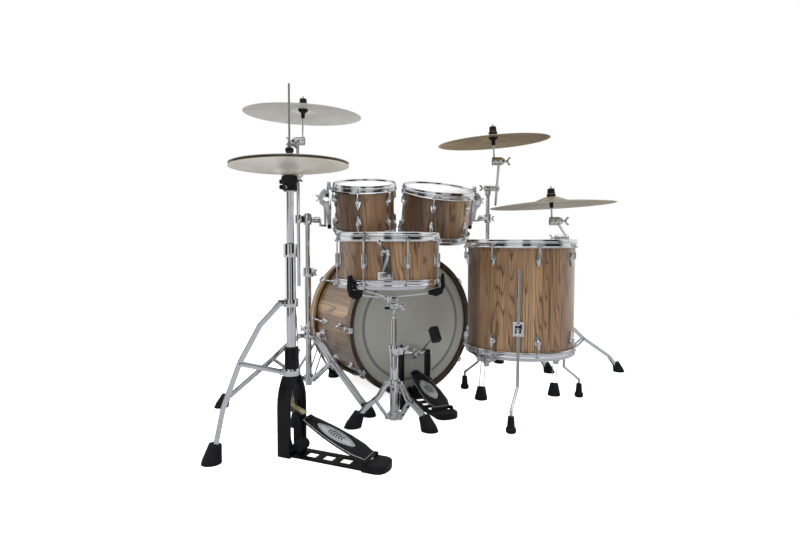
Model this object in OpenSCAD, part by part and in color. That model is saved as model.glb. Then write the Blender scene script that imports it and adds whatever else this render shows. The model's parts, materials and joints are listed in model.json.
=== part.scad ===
// Five-piece acoustic drum kit with hi-hat, two crash cymbals, a ride, stands and a bass pedal.
// Millimetres. +Z up, +Y from the drummer towards the audience (the bass drum's axis),
// +X to the drummer's right. The origin is on the floor under the middle of the kit.

/* [Bass drum] */
// Outer diameter of the bass drum shell
kick_d = 559; // [540:1:580]
// Length over both wooden hoops
kick_len = 424; // [400:1:450]
// Tension rods on each side
kick_rods = 10; // [8:2:10]
// Bass drum axis across the kit
kick_x = -118; // [-125:1:-110]
// Rear face of the batter hoop along the kit
kick_y = 90; // [85:1:95]

/* [Rack toms] */
// Outer diameter of the small tom shell
tom1_d = 254; // [250:1:258]
// Height of the small tom over its hoops
tom1_h = 222; // [205:1:235]
// Centre of the small tom's top rim
tom1_top = [-270, 250, 907]; // [-1000:1:1000]
// Outer diameter of the large tom shell
tom2_d = 305; // [300:1:308]
// Height of the large tom over its hoops
tom2_h = 226; // [215:1:240]
// Centre of the large tom's top rim
tom2_top = [46, 142, 894]; // [-1000:1:1000]

/* [Floor tom] */
// Outer diameter of the floor tom shell
floor_d = 406; // [400:1:410]
// Height over the floor tom's hoops
floor_h = 436; // [420:1:440]
// Centre of the floor tom's top rim
floor_top = [157, -253, 660]; // [-1000:1:1000]
// Reach of the floor tom legs from its axis
floor_reach = 305; // [290:1:315]

/* [Snare drum] */
// Outer diameter of the snare shell
snare_d = 356; // [352:1:360]
// Height over the snare drum's hoops
snare_h = 193; // [185:1:200]
// Centre of the snare's top rim
snare_top = [-356, -110, 683]; // [-1000:1:1000]

/* [Cymbals] */
// Diameter of the left crash cymbal
crash1_d = 467; // [450:1:490]
// Diameter of the right crash cymbal
crash2_d = 457; // [430:1:460]
// Diameter of the ride cymbal
ride_d = 488; // [480:1:520]
// Diameter of the hi-hat cymbals
hat_d = 356; // [330:1:360]
// Sheet thickness of the cymbals
cymbal_t = 1.4; // [1.2:0.1:1.8]
// Gap between the hi-hat rims with the pedal up
hat_gap = 10; // [6:1:12]

/* [Stands] */
// Foot circle radius of the three cymbal stands
stand_reach = 345; // [335:1:350]
// Radius of the stands' lower tubes
stand_tube_r = 13; // [12.5:0.1:13.5]
// Foot circle radius of the snare stand
snare_reach = 156; // [150:1:160]

/* [Hidden] */
$fn = 64;

// ---------------------------------------------------------------- colours
wood = [0.35, 0.22, 0.13];
hoop_wood = [0.28, 0.17, 0.10];
steel = [0.80, 0.81, 0.83];
black = [0.06, 0.06, 0.07];
white_head = [0.93, 0.93, 0.92];
grey_head = [0.72, 0.72, 0.70];
bronze = [0.78, 0.73, 0.62];

// ---------------------------------------------------------------- clearances
gap = 0.3;            // between separate pieces that lie against each other

// ---------------------------------------------------------------- leaning and turning
// A lean is the sideways slope [x, y] of a piece's own axis.
function lean_axis(v) = norm(v) == 0 ? [0, 0, 1] : [-v[1], v[0], 0] / norm(v);
function lean_angle(v) = atan(norm(v));
function turned(p, k, a) =
    p * cos(a) + cross(k, p) * sin(a) + k * (k * p) * (1 - cos(a));
function leaned(p, v) = turned(p, lean_axis(v), lean_angle(v));
function around(r, a, z = 0) = [r * cos(a), r * sin(a), z];
module lean(v) rotate(a = lean_angle(v), v = lean_axis(v)) children();

tom1_lean = [-0.124, -0.206];
tom2_lean = [-0.045, -0.268];
crash1_lean = [0.002, -0.0625];
crash2_lean = [-0.083, -0.011];
ride_lean = [-0.037, 0.022];
hat_lean = [-0.017, 0.010];

// ---------------------------------------------------------------- bars, plates and screws
// A round bar from a to b
module bar(a, b, r) {
    d = b - a;
    translate(a) rotate([0, acos(d[2] / norm(d)), atan2(d[1], d[0])])
        cylinder(h = norm(d), r = r);
}
// A round bar that runs through a list of points, with ball corners
module bent_bar(points, r) {
    for (i = [0 : len(points) - 2]) bar(points[i], points[i + 1], r);
    for (i = [1 : len(points) - 2]) translate(points[i]) sphere(r = r * 1.06, $fn = 24);
}
// The outline of a strip of constant width along a list of 2-D points
function side_dir(p, i) = let (
        a = p[max(i - 1, 0)], b = p[min(i + 1, len(p) - 1)], d = (b - a) / norm(b - a)
    ) [-d[1], d[0]];
function strip(p, w) = concat(
    [for (i = [0 : len(p) - 1]) p[i] + side_dir(p, i) * w / 2],
    [for (i = [len(p) - 1 : -1 : 0]) p[i] - side_dir(p, i) * w / 2]);
// A flat plate standing in the XZ plane, t thick, centred on y
module upright_plate(outline, t, y = 0)
    translate([0, y, 0]) rotate([90, 0, 0]) linear_extrude(t, center = true) polygon(outline);
// A wing bolt whose shaft starts at the origin and points along +X
module wing_bolt(shaft = 16, span = 30) {
    rotate([0, 90, 0]) cylinder(h = shaft, r = 3.2, $fn = 24);
    translate([shaft - 2, 0, 0]) rotate([0, 90, 0]) cylinder(h = 9, r = 5.5, $fn = 24);
    for (s = [-1, 1]) translate([shaft + 7, 0, 0]) rotate([90, 0, 0])
        linear_extrude(4, center = true)
            polygon([[-6, 0], [-6, s * 5], [2, s * span / 2], [9, s * span / 2],
                     [10, s * span * 0.36], [2, s * 4], [2, 0]]);
}
// A clamp collar round a vertical tube, with one ear and a wing bolt along +X
module tube_clamp(bore, wall, h) {
    difference() {
        union() {
            cylinder(h = h, r = bore + wall);
            translate([bore, -wall - 2, 0]) cube([16, 2 * wall + 4, h]);
        }
        translate([0, 0, -1]) cylinder(h = h + 2, r = bore);
    }
    translate([bore + 15.5, 0, h / 2]) wing_bolt(8, 26);
}
// A hollow vertical tube
module tube(r, wall, z0, z1) translate([0, 0, z0]) difference() {
    cylinder(h = z1 - z0, r = r);
    translate([0, 0, -1]) cylinder(h = z1 - z0 + 2, r = r - wall);
}

// ---------------------------------------------------------------- drum parts
// Every drum here has its axis along Z, with its top rim at z = 0.
hoop_h = 32;          // height of a metal hoop
film_z = -12;         // top of the drum head below the rim
ear_z = -25;          // top of the hoop's rod ears
ear_h = 6.4;          // thickness of an ear
rod_out = 14;         // rod circle outside the shell
rod_r = 2.8;
lug_z = -66;          // middle of a lug below the rim
shell_inset = 13.9;   // shell edge below the rim

function hoop_profile(r) = [
    [r + 1.8, -2], [r + 3, 0], [r + 6, 0], [r + 7.5, -2], [r + 8, -9], [r + 10, -11],
    [r + 10, -14], [r + 8.5, -16], [r + 8.5, -26], [r + 11.5, -26.8], [r + 12.5, -28],
    [r + 12.5, -30], [r + 11.5, -hoop_h], [r + 5, -hoop_h], [r + 5, -15.7], [r + 1.8, -15.7]];

module metal_hoop(r, rods, turn) difference() {
    union() {
        rotate_extrude($fn = 128) polygon(hoop_profile(r));
        for (i = [0 : rods - 1]) rotate([0, 0, turn + i * 360 / rods]) {
            translate([r + 7, -7, ear_z - ear_h]) cube([rod_out - 7, 14, ear_h]);
            translate([r + rod_out, 0, ear_z - ear_h]) cylinder(h = ear_h, r = 8, $fn = 32);
        }
    }
    for (i = [0 : rods - 1]) rotate([0, 0, turn + i * 360 / rods])
        translate([r + rod_out, 0, -hoop_h - 1]) cylinder(h = 9, r = rod_r + gap, $fn = 24);
}
module both_ends(h) {
    children();
    translate([0, 0, -h]) mirror([0, 0, 1]) children();
}
module metal_hoops(r, h, rods, turn) color(steel) both_ends(h) metal_hoop(r, rods, turn);

module head(r) rotate_extrude($fn = 128) polygon([
    [0, film_z], [r + 1.3, film_z], [r + 1.3, -16], [r + 4.7, -16], [r + 4.7, -24],
    [r + gap, -24], [r + gap, film_z - 1.5], [0, film_z - 1.5]]);
module heads(r, h) color(white_head) both_ends(h) head(r);

module shell(r, h, wall) color(wood) translate([0, 0, -h + shell_inset]) difference() {
    cylinder(h = h - 2 * shell_inset, r = r, $fn = 128);
    translate([0, 0, -1]) cylinder(h = h, r = r - wall, $fn = 128);
}

// A key rod: square head and flange on the ear, shank down to the lug
module key_rod(length) {
    translate([0, 0, ear_z + 0.1]) cylinder(h = 2.4, r = 5.2, $fn = 24);
    translate([-2.8, -2.8, ear_z + 2.4]) cube([5.6, 5.6, 8]);
    translate([0, 0, ear_z - length]) cylinder(h = length + 1, r = rod_r, $fn = 24);
}
// Teardrop outline: round end up, point down
function teardrop(r, l) = concat(
    [for (a = [-10 : 20 : 190]) [r * cos(a), r * sin(a)]], [[-r * 0.14, -l], [r * 0.14, -l]]);
module teardrop_lug() {
    rotate([90, 0, 90]) linear_extrude(6) polygon(teardrop(11.5, 33));
    translate([5, 0, 0]) rotate([90, 0, 90]) linear_extrude(3.5) polygon(teardrop(8.5, 27));
    translate([8, 0, -5]) cylinder(h = 22, r = 6.2, $fn = 32);
    translate([8, 0, -5]) sphere(r = 6.2, $fn = 24);
    translate([rod_out - 0.4, 0, -3]) cylinder(h = 22, r = 5.6, $fn = 32);
    translate([rod_out - 0.4, 0, -3]) sphere(r = 5.6, $fn = 24);
}
module side_lugs(r, rods, turn) for (i = [0 : rods - 1]) rotate([0, 0, turn + i * 360 / rods]) {
    translate([r + 0.4, 0, lug_z]) teardrop_lug();
    translate([r + rod_out, 0, 0]) key_rod(-lug_z + ear_z - 19.2);
}
module lugs(r, h, rods, turn) color(steel) both_ends(h) side_lugs(r, rods, turn);

// ---------------------------------------------------------------- bass drum
kick_r = kick_d / 2;
kick_hoop_r = kick_r + 20.5;
kick_hoop_w = 38;
kick_film = 14;       // outer face of the head inside the hoop's outer face
kick_lug_at = 128;    // middle of a lug from the hoop's outer face
kick_rod_r = kick_r + 17;
module kick_place() translate([kick_x, kick_y, kick_hoop_r]) rotate([-90, 0, 0]) children();
// Both ends of the bass drum, with the drum's own Z running to the front
module kick_ends() {
    children();
    translate([0, 0, kick_len]) mirror([0, 0, 1]) children();
}
module kick_shell() color(wood) kick_place() translate([0, 0, kick_film + 2 + gap]) difference() {
    cylinder(h = kick_len - 2 * (kick_film + 2 + gap), r = kick_r, $fn = 180);
    translate([0, 0, -1]) cylinder(h = kick_len, r = kick_r - 8, $fn = 180);
}
module kick_hoops() color(hoop_wood) kick_place() kick_ends() rotate_extrude($fn = 180) polygon([
    [kick_r + 4.5, 1], [kick_r + 5.5, 0], [kick_hoop_r - 1.5, 0], [kick_hoop_r, 1.5],
    [kick_hoop_r, kick_hoop_w - 1.5], [kick_hoop_r - 1.5, kick_hoop_w],
    [kick_r + 8.8, kick_hoop_w], [kick_r + 8.8, kick_film - gap],
    [kick_r + 4.5, kick_film - gap]]);
module kick_heads() color(grey_head) kick_place() kick_ends() rotate_extrude($fn = 180) polygon([
    [0, kick_film], [kick_r + 8.5, kick_film], [kick_r + 8.5, kick_film + 12],
    [kick_r + gap, kick_film + 12], [kick_r + gap, kick_film + 2], [0, kick_film + 2]]);
module kick_lug() {
    rotate([90, 0, 90]) linear_extrude(7) polygon(teardrop(12.5, 36));
    translate([7.8, 0, -5]) cylinder(h = 24, r = 7, $fn = 32);
    translate([7.8, 0, -5]) sphere(r = 7, $fn = 24);
    translate([kick_rod_r - kick_r - 0.4, 0, -3]) cylinder(h = 24, r = 6.5, $fn = 32);
    translate([kick_rod_r - kick_r - 0.4, 0, -3]) sphere(r = 6.5, $fn = 24);
    translate([5, -5, 0]) cube([8, 10, 16]);
}
module kick_lugs() color(steel) kick_place() kick_ends() for (i = [0 : kick_rods - 1])
    rotate([0, 0, i * 360 / kick_rods]) translate([kick_r + 0.4, 0, kick_lug_at])
        mirror([0, 0, 1]) kick_lug();
// A claw hooks the hoop's outer face and runs back over its outside to the rod boss
module claw() {
    difference() {
        union() {
            translate([kick_hoop_r - 9, -11, -5]) cube([12, 22, 5 - 0.2]);
            translate([kick_hoop_r + 0.2, -11, -5]) cube([5, 22, 50]);
            translate([kick_rod_r - 6, -9, kick_hoop_w + 1]) cube([13, 18, 8]);
        }
        translate([kick_rod_r, 0, kick_hoop_w - 1]) cylinder(h = 14, r = 3.4, $fn = 24);
    }
}
// A T-handled key rod from the claw's boss to the lug
module t_rod() {
    translate([kick_rod_r, 0, kick_hoop_w + 9.2]) {
        cylinder(h = kick_lug_at - kick_hoop_w - 9.2 - 21.3, r = 3, $fn = 24);
        cylinder(h = 4, r = 6, $fn = 24);
    }
}
module kick_claws() color(steel) kick_place() kick_ends() for (i = [0 : kick_rods - 1])
    rotate([0, 0, i * 360 / kick_rods]) { claw(); t_rod(); }

// Spurs: a bracket low on each side near the front and a leg that folds forward
spur_side = 13;       // bracket position below the horizontal, seen from behind
spur_y = kick_y + kick_len - 105;
spur_r = kick_r + 26;
spur_pivot_left = [kick_x - spur_r * cos(spur_side), spur_y, kick_hoop_r - spur_r * sin(spur_side)];
spur_pivot_right = [kick_x + spur_r * cos(spur_side), spur_y, kick_hoop_r - spur_r * sin(spur_side)];
spur_foot = [95, 112];
module spur_bracket() {
    difference() {
        union() {
            translate([kick_r + 0.4, -24, -24]) cube([7, 48, 48]);
            translate([kick_r + 7, 0, 0]) rotate([0, 90, 0]) cylinder(h = 9.7, r = 21, $fn = 48);
        }
        translate([kick_r + 10, 0, 0]) rotate([0, 90, 0]) cylinder(h = 12, r = 4.5, $fn = 24);
    }
}
module kick_spur_brackets() color(steel) translate([kick_x, spur_y, kick_hoop_r])
    for (s = [0, 1]) mirror([s, 0, 0]) rotate([0, spur_side, 0]) spur_bracket();
// One spur leg for the right side, pivot at the origin, shell outwards along +X
module spur() {
    foot = [spur_foot[0], spur_foot[1], -(kick_hoop_r - spur_r * sin(spur_side)) + 16];
    rotate([0, spur_side, 0]) translate([-8.7, 0, 0]) rotate([0, 90, 0]) {
        cylinder(h = 17, r = 17, $fn = 48);
        translate([0, 0, 16]) cylinder(h = 8, r = 8, $fn = 32);
    }
    bar([2, 0, 0], foot, 6.2);
    translate([foot[0], foot[1], foot[2] - 16]) cylinder(h = 26, r1 = 13, r2 = 9, $fn = 32);
}
module kick_spur_right() color(steel) translate(spur_pivot_right) spur();
module kick_spur_left() color(steel) translate(spur_pivot_left) mirror([1, 0, 0]) spur();

// ---------------------------------------------------------------- bass pedal
// Pedal frame: local origin on the floor under the beater axle, +Y towards the drum
pedal_at = [kick_x - 14, kick_y - 26];
pedal_turn = -8;      // the heel swings to the drummer's left
post_half = 60;       // each post beside the middle of the axle
axle_z = 186;
beater_len = 165;
beater_back = 54;     // how far the beater leans back from upright
pedal_hinge_y = -250;
pedal_hinge_z = 24;
board_rise = 17;      // slope of the footboard at rest
board_len = 258;
holder_x = 28;        // the beater's holder beside the chain wheel
module pedal_place() translate(pedal_at) rotate([0, 0, pedal_turn]) children();
module pedal_post(s) translate([s * post_half, 0, 0]) {
    difference() {
        translate([-8, -14, 9.2]) cube([16, 28, axle_z]);
        translate([-9, 0, axle_z]) rotate([0, 90, 0]) cylinder(h = 18, r = 6.1, $fn = 32);
        for (e = [-1, 1]) translate([0, e * 26, 80]) rotate([0, 90, 0])
            cylinder(h = 20, r = 16, center = true, $fn = 32);
    }
}
// The hoop clamp: a block in front of the hoop and a jaw that reaches in over its edge
module hoop_clamp() translate([kick_x, kick_y, 0]) {
    translate([-22, -9, 26]) cube([44, 22, 6]);
    translate([-22, -9, 9.6]) cube([44, 8.6, 16]);
    translate([0, -4, 32.2]) cylinder(h = 10, r = 3.6, $fn = 24);
}
module kick_pedal_frame() color(black) {
    pedal_place() {
        for (s = [-1, 1]) pedal_post(s);
        // floor plate from the posts to the heel
        translate([-post_half - 12, -20, 1]) cube([2 * post_half + 24, 32, 8]);
        linear_extrude(5) difference() {
            polygon([[-62, -18], [62, -18], [42, pedal_hinge_y], [-42, pedal_hinge_y]]);
            for (k = [0 : 2]) translate([0, -60 - 58 * k]) square([36 + 4 * k, 34], center = true);
        }
        heel_block(pedal_hinge_y);
    }
    hoop_clamp();
}
// Heel block with a rounded back and the two ears of the footboard hinge
module heel_block(y) {
    difference() {
        translate([0, y, 1]) linear_extrude(20)
            polygon([[-43, 6], [-43, -36], [-38, -50], [-26, -60], [-8, -64], [8, -64],
                     [26, -60], [38, -50], [43, -36], [43, 6]]);
        translate([-35, y - 8, 12]) cube([70, 20, 12]);
    }
    for (s = [-1, 1]) translate([s * 39 - 3.5, y - 8, 20.5]) cube([7, 14, 10]);
}
// The footboard lies along its own +Y from the hinge, top face up
function board_outline(l) = [
    [-33, 4], [33, 4], [34, 14], [43, 40], [45, 0.4 * l], [40, 0.65 * l], [30, 0.87 * l],
    [23, l], [-23, l], [-30, 0.87 * l], [-40, 0.65 * l], [-45, 0.4 * l], [-43, 40], [-34, 14]];
module board_frame(hinge, rise) translate(hinge) rotate([rise, 0, 0]) children();
module footboard_shape(l) {
    difference() {
        union() {
            linear_extrude(6) polygon(board_outline(l));
            rotate([0, 90, 0]) cylinder(h = 66, r = 5, center = true, $fn = 32);
            translate([-33, 0, 0]) cube([66, 8, 5]);
        }
        translate([0, 0, 4.6]) linear_extrude(4) scale([26, 68]) translate([0, 1.8])
            circle(r = 1, $fn = 64);
    }
    // the insert plate in the oval recess
    translate([0, 0, 4.9]) linear_extrude(1.3) scale([25.5, 67.5]) translate([0, 1.8133])
        circle(r = 1, $fn = 64);
    // toe bracket that takes the chain
    translate([-13, l - 14, 6]) cube([26, 12, 8]);
}
module kick_pedal_footboard() color(black)
    pedal_place() board_frame([0, pedal_hinge_y, pedal_hinge_z + 2], board_rise) footboard_shape(board_len);
module kick_pedal_beater() color(steel) pedal_place() translate([0, 0, axle_z]) {
    rotate([0, 90, 0]) cylinder(h = 2 * post_half + 30, r = 6, center = true, $fn = 32);
    // chain wheel
    translate([-5, 0, 0]) rotate([0, 90, 0]) cylinder(h = 12, r = 24, center = true, $fn = 48);
    // beater holder, shaft and head
    rotate([beater_back, 0, 0]) {
        translate([holder_x, 0, 0]) rotate([0, 90, 0])
            cylinder(h = 18, r = 13, center = true, $fn = 32);
        translate([holder_x, 0, -22]) cylinder(h = beater_len + 22, r = 3.6, $fn = 24);
        color(black) translate([holder_x, 0, beater_len]) rotate([90, 0, 0]) beater_head();
    }
    // spring rocker at the right end of the axle
    translate([post_half + 12.5, 0, -10]) cube([5, 16, 26], center = true);
}
module beater_head() {
    translate([0, 0, -28]) linear_extrude(56) offset(r = 7, $fn = 32)
        square([20, 22], center = true);
}

// ---------------------------------------------------------------- tom mounting
// The bracket stands outside the drum at an angle; a clamp on it holds the L-rod.
mount_out = 26;       // bracket face outside the shell
arm_out = 52;         // L-rod axis outside the shell
arm_r = 4.8;
module tom_mount(r, h, a) rotate([0, 0, a]) {
    // upright bracket
    translate([r + mount_out, -11, -104]) cube([8, 22, 112]);
    // two arms that reach in over the hoop's lower lip
    for (s = [-1, 1]) {
        translate([r + mount_out, s * 13 - 3, -23.6]) cube([8, 6, 18]);
        translate([r + 13, s * 19 - 3.5, -23.6]) cube([mount_out - 5, 7, 5]);
        translate([r + mount_out, s * 19 - 9, -23.6]) cube([8, 14, 5]);
    }
    // clamp block with the L-rod's bore
    difference() {
        translate([r + mount_out + 7.5, -12, -74]) cube([arm_out - mount_out + 3, 24, 36]);
        translate([r + arm_out, 0, -80]) cylinder(h = 50, r = arm_r + 0.05, $fn = 48);
    }
    translate([r + arm_out + 10, 0, -56]) wing_bolt(10, 26);
    // rubber-tipped rest near the lower hoop
    translate([r + mount_out + 4, 0, -118]) cylinder(h = 15, r = 6.5, $fn = 32);
}
// A rod up through the mount's clamp, down and across to the stand's boss
function mount_point(top, v, r, a, z) = top + leaned(around(r + arm_out, a, z), v);
module l_rod(top, v, r, a, at, boss, drop) {
    low = mount_point(top, v, r, a, -drop);
    out = flat_unit([boss[0] - at[0], boss[1] - at[1]]);
    bent_bar([mount_point(top, v, r, a, -20), low, [boss[0], boss[1], low[2]] + out * 14,
              boss + out * 14, boss - out * 6], arm_r);
    // ball housing on the stand's boss
    translate(boss) rotate([0, 90, atan2(out[1], out[0])]) translate([0, 0, -10.7])
        cylinder(h = 20.7, r = 13, $fn = 48);
}

tom1_r = tom1_d / 2;
tom1_mount_a = 172;
tom1_boss = [-479, 273, 742];
module tom1_place() translate(tom1_top) lean(tom1_lean) children();
module tom1_shell() tom1_place() shell(tom1_r, tom1_h, 7);
module tom1_hoops() tom1_place() metal_hoops(tom1_r, tom1_h, 6, 51);
module tom1_heads() tom1_place() heads(tom1_r, tom1_h);
module tom1_lugs() tom1_place() lugs(tom1_r, tom1_h, 6, 51);
module tom1_mount() color(steel) tom1_place() tom_mount(tom1_r, tom1_h, tom1_mount_a);
module tom1_arm() color(steel)
    l_rod(tom1_top, tom1_lean, tom1_r, tom1_mount_a, stand1, tom1_boss, 176);

tom2_r = tom2_d / 2;
tom2_mount_a = -8;
tom2_boss = [285, 139, 762];
module tom2_place() translate(tom2_top) lean(tom2_lean) children();
module tom2_shell() tom2_place() shell(tom2_r, tom2_h, 7);
module tom2_hoops() tom2_place() metal_hoops(tom2_r, tom2_h, 6, 50);
module tom2_heads() tom2_place() heads(tom2_r, tom2_h);
module tom2_lugs() tom2_place() lugs(tom2_r, tom2_h, 6, 50);
module tom2_mount() color(steel) tom2_place() tom_mount(tom2_r, tom2_h, tom2_mount_a);
module tom2_arm() color(steel)
    l_rod(tom2_top, tom2_lean, tom2_r, tom2_mount_a, stand2, tom2_boss, 150);

// ---------------------------------------------------------------- floor tom
floor_r = floor_d / 2;
floor_legs = [96, 224.5, 352];
floor_feet = [96, 221, 352];     // each leg is turned a little in its bracket
leg_r = 5.5;
leg_out = 20;         // leg axis outside the shell
bracket_z = 340;
module floor_place() translate(floor_top) children();
module floor_axis() translate([floor_top[0], floor_top[1], 0]) children();
module floor_tom_shell() floor_place() shell(floor_r, floor_h, 7);
module floor_tom_hoops() floor_place() metal_hoops(floor_r, floor_h, 8, 243.5);
module floor_tom_heads() floor_place() heads(floor_r, floor_h);
module floor_tom_lugs() floor_place() lugs(floor_r, floor_h, 8, 243.5);
module floor_tom_brackets() color(steel) floor_axis() for (a = floor_legs)
    rotate([0, 0, a]) translate([floor_r + 0.4, 0, bracket_z]) {
        difference() {
            union() {
                translate([0, -19, -26]) cube([6, 38, 52]);
                translate([5, -13, -20]) cube([27, 26, 40]);
            }
            translate([leg_out - 0.4, 0, -30]) cylinder(h = 60, r = leg_r + 0.4, $fn = 48);
        }
        translate([31.5, 0, 0]) wing_bolt(8, 26);
    }
// Legs: straight down past the lower hoop, then kicked outwards to the foot
module floor_tom_legs() color(steel) floor_axis() for (i = [0 : 2])
    bent_bar([around(floor_r + leg_out, floor_legs[i], 556),
              around(floor_r + leg_out, floor_legs[i], 136),
              around(floor_reach, floor_feet[i], 74), around(floor_reach, floor_feet[i], 22)],
             leg_r);

// ---------------------------------------------------------------- snare drum
snare_r = snare_d / 2;
snare_turn = 237;     // the strainer's direction
snare_rods = 8;
module snare_place() translate(snare_top) children();
module snare_shell() snare_place() shell(snare_r, snare_h, 8);
module snare_hoops() snare_place() metal_hoops(snare_r, snare_h, snare_rods, snare_turn + 22.5);
module snare_heads() snare_place() heads(snare_r, snare_h);
// A bridge lug at mid-height takes a rod from each hoop
module bridge_lug() {
    translate([0.4, 0, 0]) rotate([90, 0, 90]) linear_extrude(5)
        polygon([for (a = [0 : 15 : 345]) [9 * cos(a), 26 * sin(a)]]);
    translate([3, -4, -12]) cube([8, 8, 24]);
    translate([rod_out, 0, -24]) cylinder(h = 48, r = 7, $fn = 32);
}
module snare_lugs() color(steel) snare_place() for (i = [0 : snare_rods - 1])
    rotate([0, 0, snare_turn + 22.5 + i * 45]) {
        translate([snare_r, 0, -snare_h / 2]) bridge_lug();
        both_ends(snare_h) translate([snare_r + rod_out, 0, 0])
            key_rod(snare_h / 2 + ear_z - 24.2);
    }
// Strainer on the drummer's side, butt plate opposite
lever_pivot = [snare_r + 16, 0, -64];
lever_side = 33;      // the lever leans to the drummer's left
module snare_strainer() color(steel) snare_place() {
    rotate([0, 0, snare_turn]) {
        translate([snare_r + 0.4, -10, -snare_h + 60]) cube([7, 20, 78]);
        translate([snare_r + 7, -10.5, -snare_h + 60]) cube([7, 21, 58]);
        for (s = [-1, 1]) translate([snare_r + 7, s * 12 - 2.5, -78]) cube([12.6, 5, 17]);
        // wide foot that clamps the wire cord, with its two screws
        translate([snare_r + 0.4, -25, -snare_h + 34]) cube([17, 50, 27]);
        translate([snare_r + 17, -20, -snare_h + 39]) cube([3, 40, 17]);
        for (s = [-1, 1]) translate([snare_r + 20, s * 12, -snare_h + 47]) rotate([0, 90, 0])
            cylinder(h = 4, r = 4.5, $fn = 24);
    }
    rotate([0, 0, snare_turn + 180]) {
        translate([snare_r + 0.4, -15, -snare_h + 42]) cube([8, 30, 54]);
        translate([snare_r + 8, -17, -snare_h + 40]) cube([12, 34, 20]);
    }
}
module snare_lever() color(steel) snare_place() rotate([0, 0, snare_turn]) translate(lever_pivot) {
    rotate([90, 0, 0]) cylinder(h = 18, r = 4, center = true, $fn = 32);
    translate([-2.5, -6, -3]) cube([6, 12, 9]);
    rotate([lever_side, 0, 0]) {
        translate([-2, -4.5, 4]) cube([5, 9, 34]);
        translate([0.5, 0, 38]) rotate([0, 90, 0]) cylinder(h = 6, r = 6, center = true, $fn = 32);
    }
}
// Twenty snare wires under the lower head, with an end plate at each side
wire_len = 322;
module snare_wires() color(steel) snare_place() rotate([0, 0, snare_turn]) {
    for (i = [-5 : 5]) translate([-wire_len / 2 + 4, i * 4, -snare_h + 10])
        rotate([0, 90, 0]) cylinder(h = wire_len - 8, r = 0.9, $fn = 16);
    for (s = [-1, 1]) translate([s * (wire_len / 2) - 5, -25, -snare_h + 8.4])
        cube([10, 50, 3]);
}

// ---------------------------------------------------------------- tripods
leg_w = 15;           // depth of a leg strap
leg_t = 3;            // thickness of a strap
// Two straps side by side along a profile of [radius, height] points
module leg_pair(points, w = leg_w, half = 9) for (s = [-1, 1])
    upright_plate(strip(points, w), leg_t, s * half);
module leg_rivet(p, half = 9) for (s = [-1, 1])
    translate([p[0], s * (half + 1.7), p[1]]) rotate([-90 * s, 0, 0])
        cylinder(h = 2.2, r = 4.2, $fn = 24);
// A collar with an ear between each pair of straps
module leg_collar(bore, angles, ear_r, h) difference() {
    union() {
        cylinder(h = h, r = bore + 6);
        for (a = angles) rotate([0, 0, a]) translate([bore, -6.5, h / 2 - 9])
            cube([ear_r - bore, 13, 18]);
    }
    translate([0, 0, -1]) cylinder(h = h + 2, r = bore);
}
// Boot: a cone that leans along the leg, cut flat at the floor, with a slot for the straps
boot_base_r = 27;
boot_top_r = 17.5;
boot_l = 52;
// tip is the end of the leg in it, as [radius, height], and into the leg's own slope
module boot(reach, lean_in, tip, into, size = 1) difference() {
    translate([reach, 0, 0]) rotate([0, -lean_in, 0]) {
        translate([0, 0, -16 * size]) cylinder(h = 22 * size, r = boot_base_r * size, $fn = 48);
        translate([0, 0, 6 * size]) cylinder(h = (boot_l - 6) * size,
            r1 = boot_base_r * size, r2 = boot_top_r * size, $fn = 48);
    }
    translate([reach - 100, -60, -60]) cube([200, 120, 60]);
    translate([tip[0], 0, tip[1]]) rotate([0, -into, 0]) translate([-9.5, -11.6, -4])
        cube([19, 23.2, 100]);
}
// Slope of the last stretch of a leg's profile, from upright
function end_slope(p) = let (d = p[len(p) - 2] - p[len(p) - 1]) atan2(-d[0], d[1]);

// Cymbal stand tripods
stand1 = [-519, 277];
stand2 = [329, 141];
stand3 = [651, 1];
stand_turn = [49, 105.6, 100.6];
leg_top = [36, 262];
leg_mid = [145, 176];
leg_knee = [[276, 70], [288, 80], [288, 80]];
function stand_leg(i) = [leg_top, [90, 226], leg_mid, leg_knee[i], [stand_reach - 19, 30]];
brace_in = [32, 84];
function tripod_angles(turn) = [turn, turn + 120, turn + 240];
module stand_base(i) {
    turn = stand_turn[i];
    tube_top = stand_tube_top[i];
    angles = tripod_angles(turn);
    for (a = angles) rotate([0, 0, a]) {
        leg_pair(stand_leg(i));
        leg_rivet(leg_top);
        leg_rivet(leg_mid, 13);
        leg_rivet(brace_in, 13);
        leg_pair([brace_in, leg_mid], 11, 13);
    }
    translate([0, 0, leg_top[1] - 12]) leg_collar(stand_tube_r + gap, angles, leg_top[0] + 8, 26);
    translate([0, 0, brace_in[1] - 12]) leg_collar(stand_tube_r + gap, angles, brace_in[0] + 6, 24);
    tube(stand_tube_r, 1.5, 56, tube_top);
    translate([0, 0, leg_top[1] + 14.4]) rotate([0, 0, turn + 60])
        tube_clamp(stand_tube_r + gap, 5, 22);
    // height clamp that holds the inner tube
    translate([0, 0, tube_top - 6]) rotate([0, 0, 290]) tube_clamp(stand_tube_r + gap, 6, 34);
}
stand_tube_top = [515, 520, 430];
stands = [stand1, stand2, stand3];
module stand_bases() color(steel) for (i = [0 : 2]) translate(stands[i]) stand_base(i);
inner_r = 9.5;        // the telescoping inner tubes

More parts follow.
